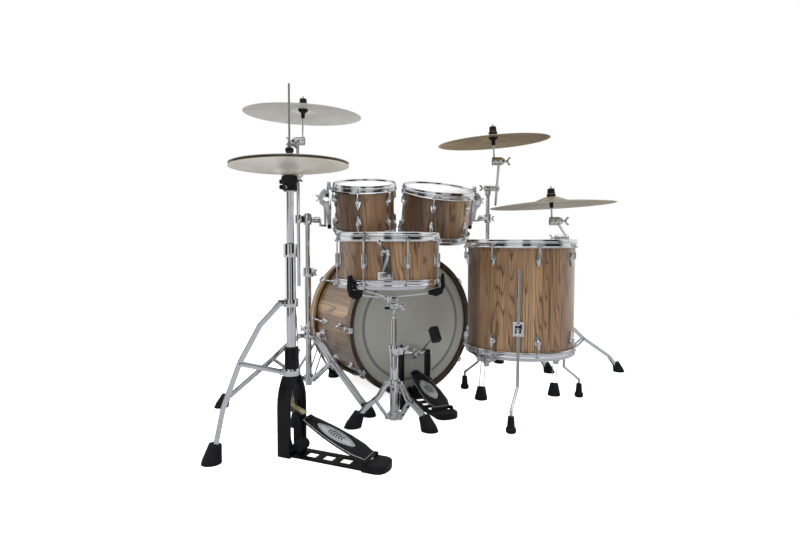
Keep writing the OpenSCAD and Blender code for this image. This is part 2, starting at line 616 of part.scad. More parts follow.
// ---------------------------------------------------------------- cymbals
// Profile of the top face: a bow with a domed bell, z = 0 at the rim
function bow(t, h) = h * (1 - pow(t, 1.9));
function bell_part(r, rb, hb) = r >= rb * 1.25 ? 0 : hb * pow(cos(min(90, 72 * r / rb)), 1.4);
function cymbal_top(R, bow_h, rb, hb) = concat(
    [for (i = [0 : 10]) let (r = 6.5 + (rb * 1.25 - 6.5) * i / 10)
        [r, bow(r / R, bow_h) + bell_part(r, rb, hb)]],
    [for (i = [1 : 9]) let (r = rb * 1.25 + (R - rb * 1.25) * i / 9) [r, bow(r / R, bow_h)]]);
module cymbal(d, bow_h, rb, hb) {
    top = cymbal_top(d / 2, bow_h, rb, hb);
    rotate_extrude($fn = 128) polygon(concat(top,
        [for (i = [len(top) - 1 : -1 : 0]) top[i] - [0, cymbal_t]]));
}
crash_bow = 17;
crash_bell = [50, 17];
ride_bow = 18;
ride_bell = [62, 20];
hat_bow = 13;
hat_bell = [48, 15];
// Height of the bell's top over the rim
crash_crown = crash_bow + crash_bell[1];
ride_crown = ride_bow + ride_bell[1];
hat_crown = hat_bow + hat_bell[1];

crash1_at = [-541, 259, 1160];    // rim centres
crash2_at = [158, -89, 1064];
ride_at = [306, -272, 796];
module crash1_place() translate(crash1_at) lean(crash1_lean) children();
module crash2_place() translate(crash2_at) lean(crash2_lean) children();
module ride_place() translate(ride_at) lean(ride_lean) children();
module crash1_cymbal() color(bronze) crash1_place()
    cymbal(crash1_d, crash_bow, crash_bell[0], crash_bell[1]);
module crash2_cymbal() color(bronze) crash2_place()
    cymbal(crash2_d, crash_bow, crash_bell[0], crash_bell[1]);
module ride_cymbal() color(bronze) ride_place()
    cymbal(ride_d, ride_bow, ride_bell[0], ride_bell[1]);

// ---------------------------------------------------------------- tilters
// A tilter is two ratchet discs side by side on one axis. The fixed disc belongs to the
// post or boom, the other carries the cymbal's rod.
tilt_dir = [0.8564, -0.5164, 0];  // direction of every tilter's axis
tilt_turn = -121.1;   // turns +Y onto tilt_dir
disc_r = 17;
post_side = 20;       // post or boom axis beside the cymbal's rod
drop1 = 103;          // pivot below the rim plane
drop2 = 78;
drop3 = 62;
crash1_pivot = crash1_at + leaned([0, 0, -drop1], crash1_lean);
crash2_pivot = crash2_at + leaned([0, 0, -drop2], crash2_lean);
ride_pivot = ride_at + leaned([0, 0, -drop3], ride_lean);
// side = 1 puts the fixed disc at -tilt_dir, side = -1 at +tilt_dir
module tilt_frame(p, side) translate(p) rotate([0, 0, side > 0 ? tilt_turn : tilt_turn + 180])
    children();
module moving_disc() translate([0, 8, 0]) rotate([90, 0, 0]) cylinder(h = 15, r = disc_r, $fn = 48);
module fixed_disc() {
    translate([0, -7.3, 0]) rotate([90, 0, 0]) cylinder(h = 22, r = disc_r, $fn = 48);
    translate([0, -29, 0]) rotate([90, 0, 0]) cylinder(h = 14, r1 = disc_r, r2 = 10, $fn = 48);
    translate([0, -42, 0]) rotate([0, 0, -90]) wing_bolt(9, 34);
}
// Rod along Z from the pivot through the cymbal, with cup, felts, sleeve and topper
module tilter_rod(crown, drop) {
    translate([0, 0, -drop]) cylinder(h = drop + crown + 39, r = 3.4, $fn = 32);
    translate([0, 0, crown - cymbal_t - 36]) cylinder(h = 14, r1 = 5.5, r2 = 7, $fn = 32);
    translate([0, 0, crown - cymbal_t - 22]) cylinder(h = 12, r1 = 9, r2 = 20, $fn = 48);
    translate([0, 0, crown - cymbal_t - 10]) cylinder(h = 7, r = 17, $fn = 48);
    translate([0, 0, crown - cymbal_t - 3]) cylinder(h = 2, r1 = 17, r2 = 8, $fn = 48);
    translate([0, 0, crown - cymbal_t - 1]) cylinder(h = 6, r = 5, $fn = 32);
    translate([0, 0, crown + 0.4]) cylinder(h = 9, r = 17, $fn = 48);
    translate([0, 0, crown + 9.4]) cylinder(h = 21, r1 = 14.6, r2 = 13.4, $fn = 48);
}
module crash1_tilter() color(steel) {
    crash1_place() tilter_rod(crash_crown, drop1);
    tilt_frame(crash1_pivot, 1) moving_disc();
}
module crash2_tilter() color(steel) {
    crash2_place() tilter_rod(crash_crown, drop2);
    tilt_frame(crash2_pivot, -1) moving_disc();
}
module ride_tilter() color(steel) {
    ride_place() tilter_rod(ride_crown, drop3);
    tilt_frame(ride_pivot, -1) moving_disc();
}

// ---------------------------------------------------------------- stand 1, upper part
// The inner tube ends in a double clamp: the crash cymbal's post on the drummer's left,
// the small tom's arm on the right.
post_xy = crash1_pivot - tilt_dir * post_side;
post_r = 6.5;
clamp_z = 722;
module stand1_post() color(steel) {
    translate(stand1) tube(inner_r, 1.2, 420, clamp_z + 46);
    double_clamp(stand1, post_xy, clamp_z);
    tom_boss(stand1, tom1_boss);
    translate([post_xy[0], post_xy[1], 470])
        cylinder(h = crash1_pivot[2] - 470, r = post_r, $fn = 32);
    tilt_frame(crash1_pivot, 1) fixed_disc();
}
module double_clamp(at, other, z) {
    side = [other[0] - at[0], other[1] - at[1]];
    translate([at[0], at[1], z]) difference() {
        union() {
            cylinder(h = 42, r = inner_r + 7);
            rotate([0, 0, atan2(side[1], side[0])]) translate([0, -9, 8])
                cube([norm(side), 18, 26]);
            translate([side[0], side[1], 5]) cylinder(h = 32, r = post_r + 7);
        }
        translate([0, 0, -1]) cylinder(h = 50, r = inner_r + 0.2);
        translate([side[0], side[1], -1]) cylinder(h = 50, r = post_r + 0.2);
    }
    translate([at[0], at[1], z + 21]) rotate([0, 0, 80]) translate([inner_r + 6.5, 0, 0])
        wing_bolt(8, 24);
    translate([other[0], other[1], z + 21]) rotate([0, 0, 250]) translate([post_r + 6.5, 0, 0])
        wing_bolt(8, 24);
}
// A boss that reaches from a tube towards a tom arm's ball housing
module tom_boss(at, boss) {
    side = [boss[0] - at[0], boss[1] - at[1]];
    translate([at[0], at[1], boss[2]]) rotate([0, 0, atan2(side[1], side[0])])
        translate([inner_r + 7.2, 0, 0]) rotate([0, 90, 0])
            cylinder(h = norm(side) - inner_r - 7.2 - 11.3, r = 11.5);
}

// ---------------------------------------------------------------- stands 2 and 3, upper parts
// A boom lies in a clamp wheel beside the tube's top and turns about a level axis.
boom_side = 42;       // boom axis beside the tube
boom_r = 5.5;
wheel_r = 15;
function flat_unit(v) = [v[0], v[1], 0] / norm([v[0], v[1]]);
boom2_end = crash2_pivot + tilt_dir * post_side;
boom3_end = ride_pivot + tilt_dir * post_side;
boom2_z = 905;
boom3_z = 672;
// Direction of each boom over the floor, and its level pivot axis
boom2_dir = flat_unit([boom2_end[0] - stand2[0], boom2_end[1] - stand2[1]]);
boom3_dir = flat_unit([boom3_end[0] - stand3[0], boom3_end[1] - stand3[1]]);
boom2_axis = [-boom2_dir[1], boom2_dir[0], 0];
boom3_axis = [-boom3_dir[1], boom3_dir[0], 0];
boom2_pivot = [stand2[0], stand2[1], boom2_z] + boom2_axis * boom_side;
boom3_pivot = [stand3[0], stand3[1], boom3_z] + boom3_axis * boom_side;
module boom_head(at, axis, z) translate([at[0], at[1], z]) {
    translate([0, 0, -34]) cylinder(h = 22, r = inner_r + 5);
    translate([0, 0, -16]) cylinder(h = 16, r = inner_r + 2);
    rotate([0, 0, atan2(axis[1], axis[0])]) {
        translate([-16, 0, 0]) rotate([0, 90, 0]) cylinder(h = 16 + boom_side - 9.3, r = wheel_r);
        translate([-16, 0, 0]) rotate([0, 0, 180]) wing_bolt(8, 28);
    }
}
module boom(pivot, axis, end, tail) {
    d = (end - pivot) / norm(end - pivot);
    bar(pivot - d * tail, end, boom_r);
    translate(pivot) rotate([0, 0, atan2(axis[1], axis[0])]) translate([-9, 0, 0])
        rotate([0, 90, 0]) cylinder(h = 18, r = wheel_r + 1);
}
module stand2_tube() color(steel) {
    translate(stand2) tube(inner_r, 1.2, 380, boom2_z - 34.2);
    boom_head(stand2, boom2_axis, boom2_z);
    tom_boss(stand2, tom2_boss);
    translate([stand2[0], stand2[1], 742]) difference() {
        cylinder(h = 40, r = inner_r + 7);
        translate([0, 0, -1]) cylinder(h = 44, r = inner_r + 0.2);
    }
    translate([stand2[0] + inner_r + 6.5, stand2[1], 762]) wing_bolt(8, 24);
}
module stand3_tube() color(steel) {
    translate(stand3) tube(inner_r, 1.2, 300, boom3_z - 34.2);
    boom_head(stand3, boom3_axis, boom3_z);
}
module stand2_boom() color(steel) {
    boom(boom2_pivot, boom2_axis, boom2_end, 230);
    tilt_frame(crash2_pivot, -1) fixed_disc();
}
module stand3_boom() color(steel) {
    boom(boom3_pivot, boom3_axis, boom3_end, 110);
    tilt_frame(ride_pivot, -1) fixed_disc();
}

// ---------------------------------------------------------------- snare stand
snare_stand = [-356, -149];
snare_stand_turn = 51;
snare_tube_r = 15;
snare_inner_r = 10;
snare_leg = [[30, 141], [60, 96], [104, 66], [snare_reach - 14, 34]];
snare_brace = [[28, 21], [72, 86]];
snare_pivot_z = 418;
module snare_stand_base() color(steel) translate(snare_stand) {
    for (a = tripod_angles(snare_stand_turn)) rotate([0, 0, a]) {
        leg_pair(snare_leg, 13);
        leg_rivet(snare_leg[0]);
        leg_pair(snare_brace, 9, 13);
        leg_rivet(snare_brace[0], 13);
        leg_rivet(snare_brace[1], 13);
    }
    translate([0, 0, 128]) leg_collar(snare_tube_r + gap, tripod_angles(snare_stand_turn), 36, 26);
    translate([0, 0, 10]) leg_collar(snare_tube_r + gap, tripod_angles(snare_stand_turn), 34, 22);
    tube(snare_tube_r, 1.5, 8, 258);
    translate([0, 0, 244]) rotate([0, 0, -20]) tube_clamp(snare_tube_r + gap, 5, 36);
}
module snare_stand_tube() color(steel) translate(snare_stand) {
    tube(snare_inner_r, 1.2, 130, 372.2);
    translate([0, 0, 372.2]) cylinder(h = 8, r1 = snare_inner_r, r2 = 6, $fn = 48);
    translate([0, 0, 380]) cylinder(h = snare_pivot_z - 380, r = 4.5, $fn = 32);
    tilt_frame([0, 0, snare_pivot_z], 1) {
        translate([0, 9, 0]) rotate([90, 0, 0]) cylinder(h = 18, r = 13, $fn = 48);
    }
}
// Basket: a hub under the drum, three arms and a hook at the end of each
hub = [snare_top[0], snare_top[1], 447];
basket_arms = [199, 319, 102];
arm_end = 176;
hook_z = snare_top[2] - snare_h - 18;
module snare_stand_basket() color(steel) {
    translate([snare_stand[0], snare_stand[1], snare_pivot_z]) {
        tilt_frame([0, 0, 0], 1) for (s = [-1, 1]) translate([0, s * 12 + 2.7, 0])
            rotate([90, 0, 0]) cylinder(h = 5.4, r = 14, $fn = 48);
        tilt_frame([0, 0, 0], 1) for (s = [-1, 1]) translate([-7, s * 12 - 2.7, 0])
            cube([14, 5.4, 34]);
        tilt_frame([0, 0, 0], 1) translate([0, 14, 0]) rotate([0, 0, 90]) wing_bolt(8, 26);
        translate([-16, -10, 30]) cube([32, 50, 6]);
    }
    translate(hub) {
        translate([0, 0, -40]) cylinder(h = 44, r = 7, $fn = 32);
        translate([0, 0, -6]) cylinder(h = 14, r = 22);
        translate([0, 0, -40]) cylinder(h = 10, r = 15);
        for (a = basket_arms) rotate([0, 0, a])
            bar([14, 0, 0], [arm_end, 0, hook_z - hub[2] - 4], 3.2);
    }
}
// A grip is a claw: a tapered foot round the arm's end and a finger outside the hoop
grip_shape = [[arm_end - 30, -10], [arm_end - 30, 3], [arm_end, 13], [snare_r + 13, 16],
              [snare_r + 13.4, 58], [snare_r + 17, 66], [snare_r + 24, 64], [snare_r + 28, 22],
              [snare_r + 18, -6], [arm_end, -17]];
module snare_stand_grips() color(black) translate([hub[0], hub[1], hook_z])
    for (a = basket_arms) rotate([0, 0, a]) difference() {
        upright_plate(grip_shape, 15);
        translate([arm_end - 31, -3.6, -20]) cube([32, 7.2, 21]);
    }

// ---------------------------------------------------------------- hi-hat stand
// Local frame: origin on the floor under the pull rod, +X towards the heel.
hat_at = [-766, -226];
hat_turn = -54;
hat_tube_r = 15;
hat_upper_r = 11;
hat_rim_z = 875;
hat_rod_r = 3.1;
hat_hinge = [266, 0, 26];
hat_board_rise = 22;
hat_board_len = 230;
hat_leg_angles = [168 - hat_turn, 66 - hat_turn];
hat_leg = [[32, 464], [92, 400], [152, 290], [200, 160], [226, 34]];
hat_brace = [[30, 254], [150, 288]];
module hat_place() translate(hat_at) rotate([0, 0, hat_turn]) children();
// Side profile of one frame plate in (across, up)
plate_side = [[14, 240], [20, 240], [27, 226], [37, 204], [44, 178], [46, 150], [46, 0.6],
              [38, 0.6], [38, 150], [36, 176], [29, 200], [14, 226]];
module hihat_base() color(black) hat_place() {
    for (s = [0, 1]) mirror([0, s, 0]) rotate([90, 0, 90])
        linear_extrude(44, center = true) polygon(plate_side);
    difference() {
        translate([0, 0, 228]) cylinder(h = 100, r = 21);
        translate([0, 0, 232]) cylinder(h = 100, r = hat_tube_r + gap);
        translate([0, 0, 220]) cylinder(h = 20, r = hat_rod_r + 3);
    }
    translate([-22, -38.5, 1]) cube([44, 77, 9]);
    // floor plate with three slots
    linear_extrude(6) difference() {
        polygon([[22.2, -34], [22.2, 34], [hat_hinge[0], 34], [hat_hinge[0], -34]]);
        for (k = [0 : 2]) translate([74 + 58 * k, 0]) square([38, 36], center = true);
    }
    rotate([0, 0, 90]) heel_block(-hat_hinge[0]);
}
module hihat_legs() color(steel) hat_place() {
    for (a = hat_leg_angles) rotate([0, 0, a]) {
        leg_pair(hat_leg, 14);
        leg_rivet(hat_leg[0]);
        leg_pair(hat_brace, 10, 13);
        leg_rivet(hat_brace[0], 13);
        leg_rivet(hat_brace[1], 13);
    }
    translate([0, 0, 452]) leg_collar(hat_tube_r + gap, hat_leg_angles, 38, 24);
    difference() {
        translate([0, 0, 243]) union() {
            cylinder(h = 22, r = 27);
            for (a = hat_leg_angles) rotate([0, 0, a]) translate([22, -6.5, 2]) cube([14, 13, 18]);
        }
        translate([0, 0, 240]) cylinder(h = 30, r = 21 + gap);
    }
    tube(hat_tube_r, 1.5, 242, 640);
    translate([0, 0, 604]) rotate([0, 0, 140]) tube_clamp(hat_tube_r + gap, 5, 40);
}
seat_z = hat_rim_z - hat_crown;
module hihat_upper_tube() color(steel) hat_place() {
    tube(hat_upper_r, 1.5, 430, seat_z - 44);
    color(black) difference() {
        union() {
            translate([0, 0, seat_z - 46]) cylinder(h = 30, r = 19);
            translate([0, 0, seat_z - 16.2]) cylinder(h = 15.8, r = 21);
            translate([0, -16, seat_z - 34]) rotate([90, 0, 0]) cylinder(h = 9, r = 6, $fn = 32);
        }
        translate([0, 0, seat_z - 60]) cylinder(h = 80, r = hat_rod_r + 1.4);
    }
    translate([21.2, 0, seat_z - 8]) wing_bolt(10, 20);
}
module hihat_bottom_cymbal() color(bronze) translate([hat_at[0], hat_at[1], hat_rim_z])
    lean(hat_lean) mirror([0, 0, 1]) cymbal(hat_d, hat_bow, hat_bell[0], hat_bell[1]);
module hihat_top_cymbal() color(bronze) translate([hat_at[0], hat_at[1], hat_rim_z + hat_gap])
    lean(hat_lean) cymbal(hat_d, hat_bow, hat_bell[0], hat_bell[1]);
clutch_z = hat_rim_z + hat_gap + hat_crown;
module hihat_rod() color(steel) hat_place() {
    translate([0, 0, 132]) cylinder(h = 991, r = hat_rod_r, $fn = 32);
    // clutch: nut and felt below the cymbal, felt and barrel above
    translate([0, 0, clutch_z - cymbal_t - 17]) cylinder(h = 8, r = 9, $fn = 32);
    translate([0, 0, clutch_z - cymbal_t - 9]) cylinder(h = 5.6, r = 15);
    translate([0, 0, clutch_z - cymbal_t - 3.4]) cylinder(h = 2, r1 = 15, r2 = 8);
    translate([0, 0, clutch_z - cymbal_t - 2]) cylinder(h = 6, r = 5, $fn = 32);
    translate([0, 0, clutch_z + 1]) cylinder(h = 5, r = 10);
    translate([0, 0, clutch_z + 5]) cylinder(h = 4, r1 = 9, r2 = 12);
    translate([0, 0, clutch_z + 9]) cylinder(h = 9, r = 12);
    translate([0, 0, clutch_z + 18]) cylinder(h = 18, r = 6, $fn = 32);
    translate([0, 0, clutch_z + 29]) rotate([0, 0, 40]) wing_bolt(11, 22);
    // link plate from the rod's foot to the footboard's toe
    translate([0, 0, 136]) cube([16, 18, 12], center = true);
    upright_plate(strip([[6, 141], [26, 136], [44, 127]], 4), 18);
}
module hihat_footboard() color(black) hat_place()
    translate(hat_hinge) rotate([0, 0, 90]) rotate([hat_board_rise, 0, 0])
        footboard_shape(hat_board_len);

// ---------------------------------------------------------------- rubber feet
module floor_foot() difference() {
    union() {
        cylinder(h = 4, r1 = 14, r2 = 17.6, $fn = 48);
        translate([0, 0, 4]) cylinder(h = 11, r = 18, $fn = 48);
        translate([0, 0, 15]) cylinder(h = 8, r1 = 17.6, r2 = 13, $fn = 48);
        translate([0, 0, 23]) cylinder(h = 33, r1 = 13.2, r2 = 11, $fn = 48);
    }
    translate([0, 0, 21.6]) cylinder(h = 40, r = leg_r + gap, $fn = 48);
}
module rubber_feet() color(black) {
    for (i = [0 : 2]) translate(stands[i]) for (a = tripod_angles(stand_turn[i]))
        rotate([0, 0, a])
            boot(stand_reach, 22, [stand_reach - 19, 30], end_slope(stand_leg(i)), 0.96);
    translate(snare_stand) for (a = tripod_angles(snare_stand_turn)) rotate([0, 0, a])
        boot(snare_reach, 27, snare_leg[3], end_slope(snare_leg), 1.06);
    hat_place() for (a = hat_leg_angles) rotate([0, 0, a])
        boot(235, 12, hat_leg[4], end_slope(hat_leg), 1.08);
    floor_axis() for (a = floor_feet) translate(around(floor_reach, a)) floor_foot();
}

// Puts the origin on the floor under the middle of the whole kit
kit_shift = [11, -22, 0];
translate(kit_shift) {
    kick_shell();
    kick_hoops();
    kick_heads();
    kick_lugs();
    kick_claws();
    kick_spur_brackets();
    kick_spur_left();
    kick_spur_right();
    kick_pedal_frame();
    kick_pedal_footboard();
    kick_pedal_beater();
    tom1_shell();
    tom1_hoops();
    tom1_heads();
    tom1_lugs();
    tom1_mount();
    tom1_arm();
    tom2_shell();
    tom2_hoops();
    tom2_heads();
    tom2_lugs();
    tom2_mount();
    tom2_arm();
    floor_tom_shell();
    floor_tom_hoops();
    floor_tom_heads();
    floor_tom_lugs();
    floor_tom_brackets();
    floor_tom_legs();
    snare_shell();
    snare_hoops();
    snare_heads();
    snare_lugs();
    snare_strainer();
    snare_lever();
    snare_wires();
    snare_stand_base();
    snare_stand_tube();
    snare_stand_basket();
    snare_stand_grips();
    hihat_base();
    hihat_legs();
    hihat_upper_tube();
    hihat_bottom_cymbal();
    hihat_rod();
    hihat_top_cymbal();
    hihat_footboard();
    stand_bases();
    stand1_post();
    stand2_tube();
    stand3_tube();
    stand2_boom();
    stand3_boom();
    crash1_tilter();
    crash2_tilter();
    ride_tilter();
    crash1_cymbal();
    crash2_cymbal();
    ride_cymbal();
    rubber_feet();
}
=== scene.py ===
"""Looks for an acoustic drum kit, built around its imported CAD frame."""
import json
import math

import bmesh
import bpy
from mathutils import Matrix, Vector


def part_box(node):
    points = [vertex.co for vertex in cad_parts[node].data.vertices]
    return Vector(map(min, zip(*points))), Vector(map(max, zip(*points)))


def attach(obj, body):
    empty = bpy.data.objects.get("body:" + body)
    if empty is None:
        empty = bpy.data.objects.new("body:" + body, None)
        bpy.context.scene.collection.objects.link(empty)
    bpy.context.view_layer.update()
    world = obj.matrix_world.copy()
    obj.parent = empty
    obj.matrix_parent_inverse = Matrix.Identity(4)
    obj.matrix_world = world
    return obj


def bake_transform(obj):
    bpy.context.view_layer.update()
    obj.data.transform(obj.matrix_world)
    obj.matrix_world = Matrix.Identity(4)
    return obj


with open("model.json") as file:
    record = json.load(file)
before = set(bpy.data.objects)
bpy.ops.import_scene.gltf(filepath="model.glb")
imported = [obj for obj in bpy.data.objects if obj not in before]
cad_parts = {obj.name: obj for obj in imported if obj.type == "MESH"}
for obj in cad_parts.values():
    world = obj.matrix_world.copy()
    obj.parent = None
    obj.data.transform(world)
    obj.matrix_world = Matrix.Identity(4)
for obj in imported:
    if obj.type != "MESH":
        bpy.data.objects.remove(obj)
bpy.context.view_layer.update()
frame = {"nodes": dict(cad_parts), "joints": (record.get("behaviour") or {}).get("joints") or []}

NODES = frame["nodes"]
JOINTS = {j["name"]: j for j in frame["joints"]}
UP = Vector((0, 0, 1))
MM = 0.001


# ---------------------------------------------------------------- places taken from the frame
def middle(node):
    """Centre of a CAD node's box."""
    low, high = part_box(node)
    return (low + high) / 2


def half_width(node):
    """Half of a CAD node's box along X, which is the radius of a round one."""
    low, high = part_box(node)
    return (high.x - low.x) / 2


def joint_at(name):
    return Vector(JOINTS[name]["pos_m"])


def joint_axis(name):
    return Vector(JOINTS[name]["axis"]).normalized()


# The hi-hat's rod stands on the vertical line through this point
HIHAT_ROD = (middle("hihat_top_cymbal") + middle("hihat_bottom_cymbal")) / 2


# ---------------------------------------------------------------- placing matrices
def shifted(x=0.0, y=0.0, z=0.0):
    """A move in millimetres."""
    return Matrix.Translation((x * MM, y * MM, z * MM))


def turned(degrees, axis):
    return Matrix.Rotation(math.radians(degrees), 4, axis)


def placed(at, axis, degrees=0):
    """Puts a piece's own origin at a point and its Z along an axis."""
    tilt = UP.rotation_difference(axis).to_matrix().to_4x4()
    return Matrix.Translation(at) @ tilt @ turned(degrees, "Z")


def facing(origin, axis_x, tip=0):
    """Puts X along a level axis, tipped about it by an angle in degrees."""
    across = Vector(axis_x).normalized()
    frame_turn = Matrix((across, UP.cross(across), UP)).transposed().to_4x4()
    return Matrix.Translation(origin) @ frame_turn @ turned(tip, "X")


OUTWARD = turned(90, "Y")                     # Z points out along X
ON_EDGE = turned(90, "Y") @ turned(90, "Z")   # an outline's X runs along Y, its Y goes up


# ---------------------------------------------------------------- material graphs
def srgb(red, green, blue):
    """A display colour, 0 to 255, as a linear RGBA colour."""
    def linear(value):
        value /= 255
        return value / 12.92 if value <= 0.04045 else ((value + 0.055) / 1.055) ** 2.4
    return (linear(red), linear(green), linear(blue), 1.0)


class Nodes:
    """Short calls for the nodes of one shader tree."""

    def __init__(self, tree):
        self.tree = tree

    def add(self, kind, inputs=None, **settings):
        node = self.tree.nodes.new("ShaderNode" + kind)
        for key, value in settings.items():
            setattr(node, key, value)
        for key, value in (inputs or {}).items():
            if isinstance(value, bpy.types.NodeSocket):
                self.tree.links.new(value, node.inputs[key])
            else:
                node.inputs[key].default_value = value
        return node

    def math(self, operation, first, second=0.0, third=0.0):
        values = {0: first, 1: second, 2: third}
        return self.add("Math", values, operation=operation).outputs[0]

    def length(self, x, y):
        """Length of a flat vector."""
        squares = self.math("ADD", self.math("MULTIPLY", x, x), self.math("MULTIPLY", y, y))
        return self.math("SQRT", squares)

    def scaled(self, value, low, high, new_low=0.0, new_high=1.0):
        inputs = {"Value": value, "From Min": low, "From Max": high,
                  "To Min": new_low, "To Max": new_high}
        return self.add("MapRange", inputs).outputs["Result"]

    def combine(self, x, y, z=0.0):
        return self.add("CombineXYZ", {0: x, 1: y, 2: z}).outputs[0]

    def noise(self, vector, scale=1.0, detail=2.0, roughness=0.5):
        inputs = {"Vector": vector, "Scale": scale, "Detail": detail, "Roughness": roughness}
        return self.add("TexNoise", inputs).outputs["Fac"]

    def ramp(self, value, stops):
        """Colour along a row of (position, colour) stops."""
        node = self.add("ValToRGB", {"Fac": value})
        elements = node.color_ramp.elements
        while len(elements) < len(stops):
            elements.new(0.5)
        for element, (position, colour) in zip(elements, stops):
            element.position = position
            element.color = colour
        return node.outputs["Color"]

    def mix(self, factor, first, second):
        """Colour from first, at factor 0, to second; 0, 6 and 7 are the colour mix's sockets."""
        return self.add("Mix", {0: factor, 6: first, 7: second}, data_type="RGBA").outputs[2]


class Graph(Nodes):
    """A material with one Principled shader, and the nodes that feed it."""

    def __init__(self, name, **constants):
        self.mat = bpy.data.materials.new(name)
        self.mat.use_nodes = True
        super().__init__(self.mat.node_tree)
        self.shader = self.tree.nodes["Principled BSDF"]
        for socket, value in constants.items():
            self.shader.inputs[socket.replace("_", " ")].default_value = value

    def bump(self, height, strength, distance):
        inputs = {"Height": height, "Strength": strength, "Distance": distance}
        self.feed("Normal", self.add("Bump", inputs).outputs[0])

    def feed(self, socket, value):
        self.tree.links.new(value, self.shader.inputs[socket])

    def place(self):
        return self.add("TexCoord").outputs["Object"]

    def local(self, origin, axis):
        """x, y and z in a frame whose Z runs along an axis."""
        turn = UP.rotation_difference(axis).to_euler()
        mapped = self.add("Mapping", {"Vector": self.place(), "Location": origin,
                                      "Rotation": turn}, vector_type="TEXTURE")
        return self.add("SeparateXYZ", {0: mapped.outputs[0]}).outputs


# ---------------------------------------------------------------- materials
VENEER = [(0.00, srgb(50, 36, 27)), (0.22, srgb(90, 67, 49)), (0.42, srgb(138, 108, 79)),
          (0.58, srgb(132, 100, 70)), (0.78, srgb(176, 144, 107)), (1.00, srgb(206, 175, 134))]
GRAIN = srgb(38, 25, 16)
PLANK = 0.052          # width of one leaf of veneer


def veneer(name, origin, axis, radius, seed, knots=(), along_hoop=False, tones=(), faces=None):
    """Stained, satin-lacquered ash: leaves of different tone, cathedral grain, pores, knots.
    knots are (degrees round the drum, height, size) and tones (degrees, tone); past faces,
    along Y, the end grain is dark."""
    g = Graph(name, Coat_Roughness=0.28, Coat_IOR=1.85, IOR=1.3)
    facing_away = g.add("LayerWeight", {"Blend": 0.5}).outputs["Facing"]
    g.feed("Coat Weight", g.scaled(facing_away, 0.15, 0.75, 0.30, 1.0))
    x, y, z = g.local(origin, axis)
    across, run = g.math("MULTIPLY", g.math("ARCTAN2", y, x), radius), z
    if along_hoop:
        across, run = run, across
    sway = g.noise(g.combine(g.math("MULTIPLY", across, 9), g.math("MULTIPLY", run, 1.6), seed),
                   detail=1)
    swayed = g.math("MULTIPLY_ADD", sway, 0.022, across)
    leaf = g.math("FLOOR", g.math("DIVIDE", swayed, PLANK))
    tone = g.add("TexWhiteNoise", {"W": g.math("ADD", leaf, seed * 7.3)},
                 noise_dimensions="1D").outputs["Value"]
    cloud = g.noise(g.combine(g.math("MULTIPLY", across, 20), g.math("MULTIPLY", run, 2.0), seed),
                    detail=3)
    # tones planned round the drum: partly the veneer's own leaf tones, partly painted shade on the
    # darker sides of the drum
    if tones:
        turn = g.math("MULTIPLY_ADD", g.math("DIVIDE", swayed, radius), 0.5 / math.pi, 0.5)
        planned_tone_and_shade = g.ramp(turn, [((a + 180) / 360, (t, t, t, 1)) for a, t in tones])
        tone = g.math("MULTIPLY_ADD", tone, 0.16, g.math("MULTIPLY", planned_tone_and_shade, 0.84))
    tone = g.math("MULTIPLY_ADD", tone, 0.62, g.math("MULTIPLY", cloud, 0.50))
    tone = g.math("SUBTRACT", tone, 0.08)
    colour = g.ramp(tone, VENEER)
    # growth rings: contour lines of a field stretched along the grain
    field = g.noise(g.combine(g.math("MULTIPLY", swayed, 13), g.math("MULTIPLY", run, 1.15),
                              g.math("MULTIPLY", leaf, 3.1)), detail=2, roughness=0.35)
    rings = g.math("PINGPONG", g.math("MULTIPLY", field, 46), 1)
    rings = g.scaled(rings, 0.62, 1.0)
    lines = g.noise(g.combine(g.math("MULTIPLY", swayed, 240), g.math("MULTIPLY", run, 2.5), seed),
                    detail=2, roughness=0.55)
    streaks = g.noise(g.combine(g.math("MULTIPLY", swayed, 620), g.math("MULTIPLY", run, 7), seed),
                      detail=3, roughness=0.6)
    pores = g.noise(g.combine(g.math("MULTIPLY", swayed, 1500), g.math("MULTIPLY", run, 60), seed),
                    detail=1)
    pores = g.scaled(pores, 0.60, 0.72)
    figure = g.math("MULTIPLY", g.math("MULTIPLY", rings, 0.92), g.scaled(streaks, 0.3, 0.7, 0.6, 1))
    colour = g.mix(figure, colour, GRAIN)
    colour = g.mix(g.math("MULTIPLY", g.scaled(lines, 0.50, 0.66), 0.62), colour, GRAIN)
    colour = g.mix(g.math("MULTIPLY", g.scaled(streaks, 0.38, 0.72), 0.45), colour, GRAIN)
    colour = g.mix(g.math("MULTIPLY", pores, g.math("MULTIPLY_ADD", rings, 0.5, 0.2)), colour, GRAIN)
    for knot_angle, height, size in knots:
        beside = g.math("SUBTRACT", across, math.radians(knot_angle) * radius)
        above = g.math("MULTIPLY", g.math("SUBTRACT", run, height), 0.7)
        halo = g.scaled(g.length(beside, above), size * 0.4, size * 3.2, 0.85, 0)
        colour = g.mix(halo, colour, srgb(44, 25, 16))
    if faces is not None:
        half = faces - origin.y
        end_grain = g.scaled(g.math("ABSOLUTE", z), half - 0.0026, half - 0.0012)
        colour = g.mix(g.math("MULTIPLY", end_grain, 0.86), colour, srgb(34, 22, 15))
    g.feed("Base Color", colour)
    g.feed("Roughness", g.scaled(streaks, 0.2, 0.8, 0.36, 0.50))
    relief = g.math("ADD", g.math("MULTIPLY", pores, -1), g.math("MULTIPLY", rings, -0.5))
    g.bump(relief, 0.25, 0.0003)
    return g.mat


def chrome():
    """Polished plate with faint wipe marks and a little waviness."""
    g = Graph("chrome_plate", Metallic=1.0)
    marks = g.noise(g.place(), scale=55, detail=4, roughness=0.65)
    tint = g.ramp(marks, [(0.25, srgb(226, 228, 232)), (0.75, srgb(240, 241, 243))])
    g.feed("Base Color", tint)
    g.feed("Roughness", g.scaled(marks, 0.3, 0.8, 0.04, 0.12))
    g.bump(g.noise(g.place(), scale=120, detail=2), 0.02, 0.0004)
    return g.mat


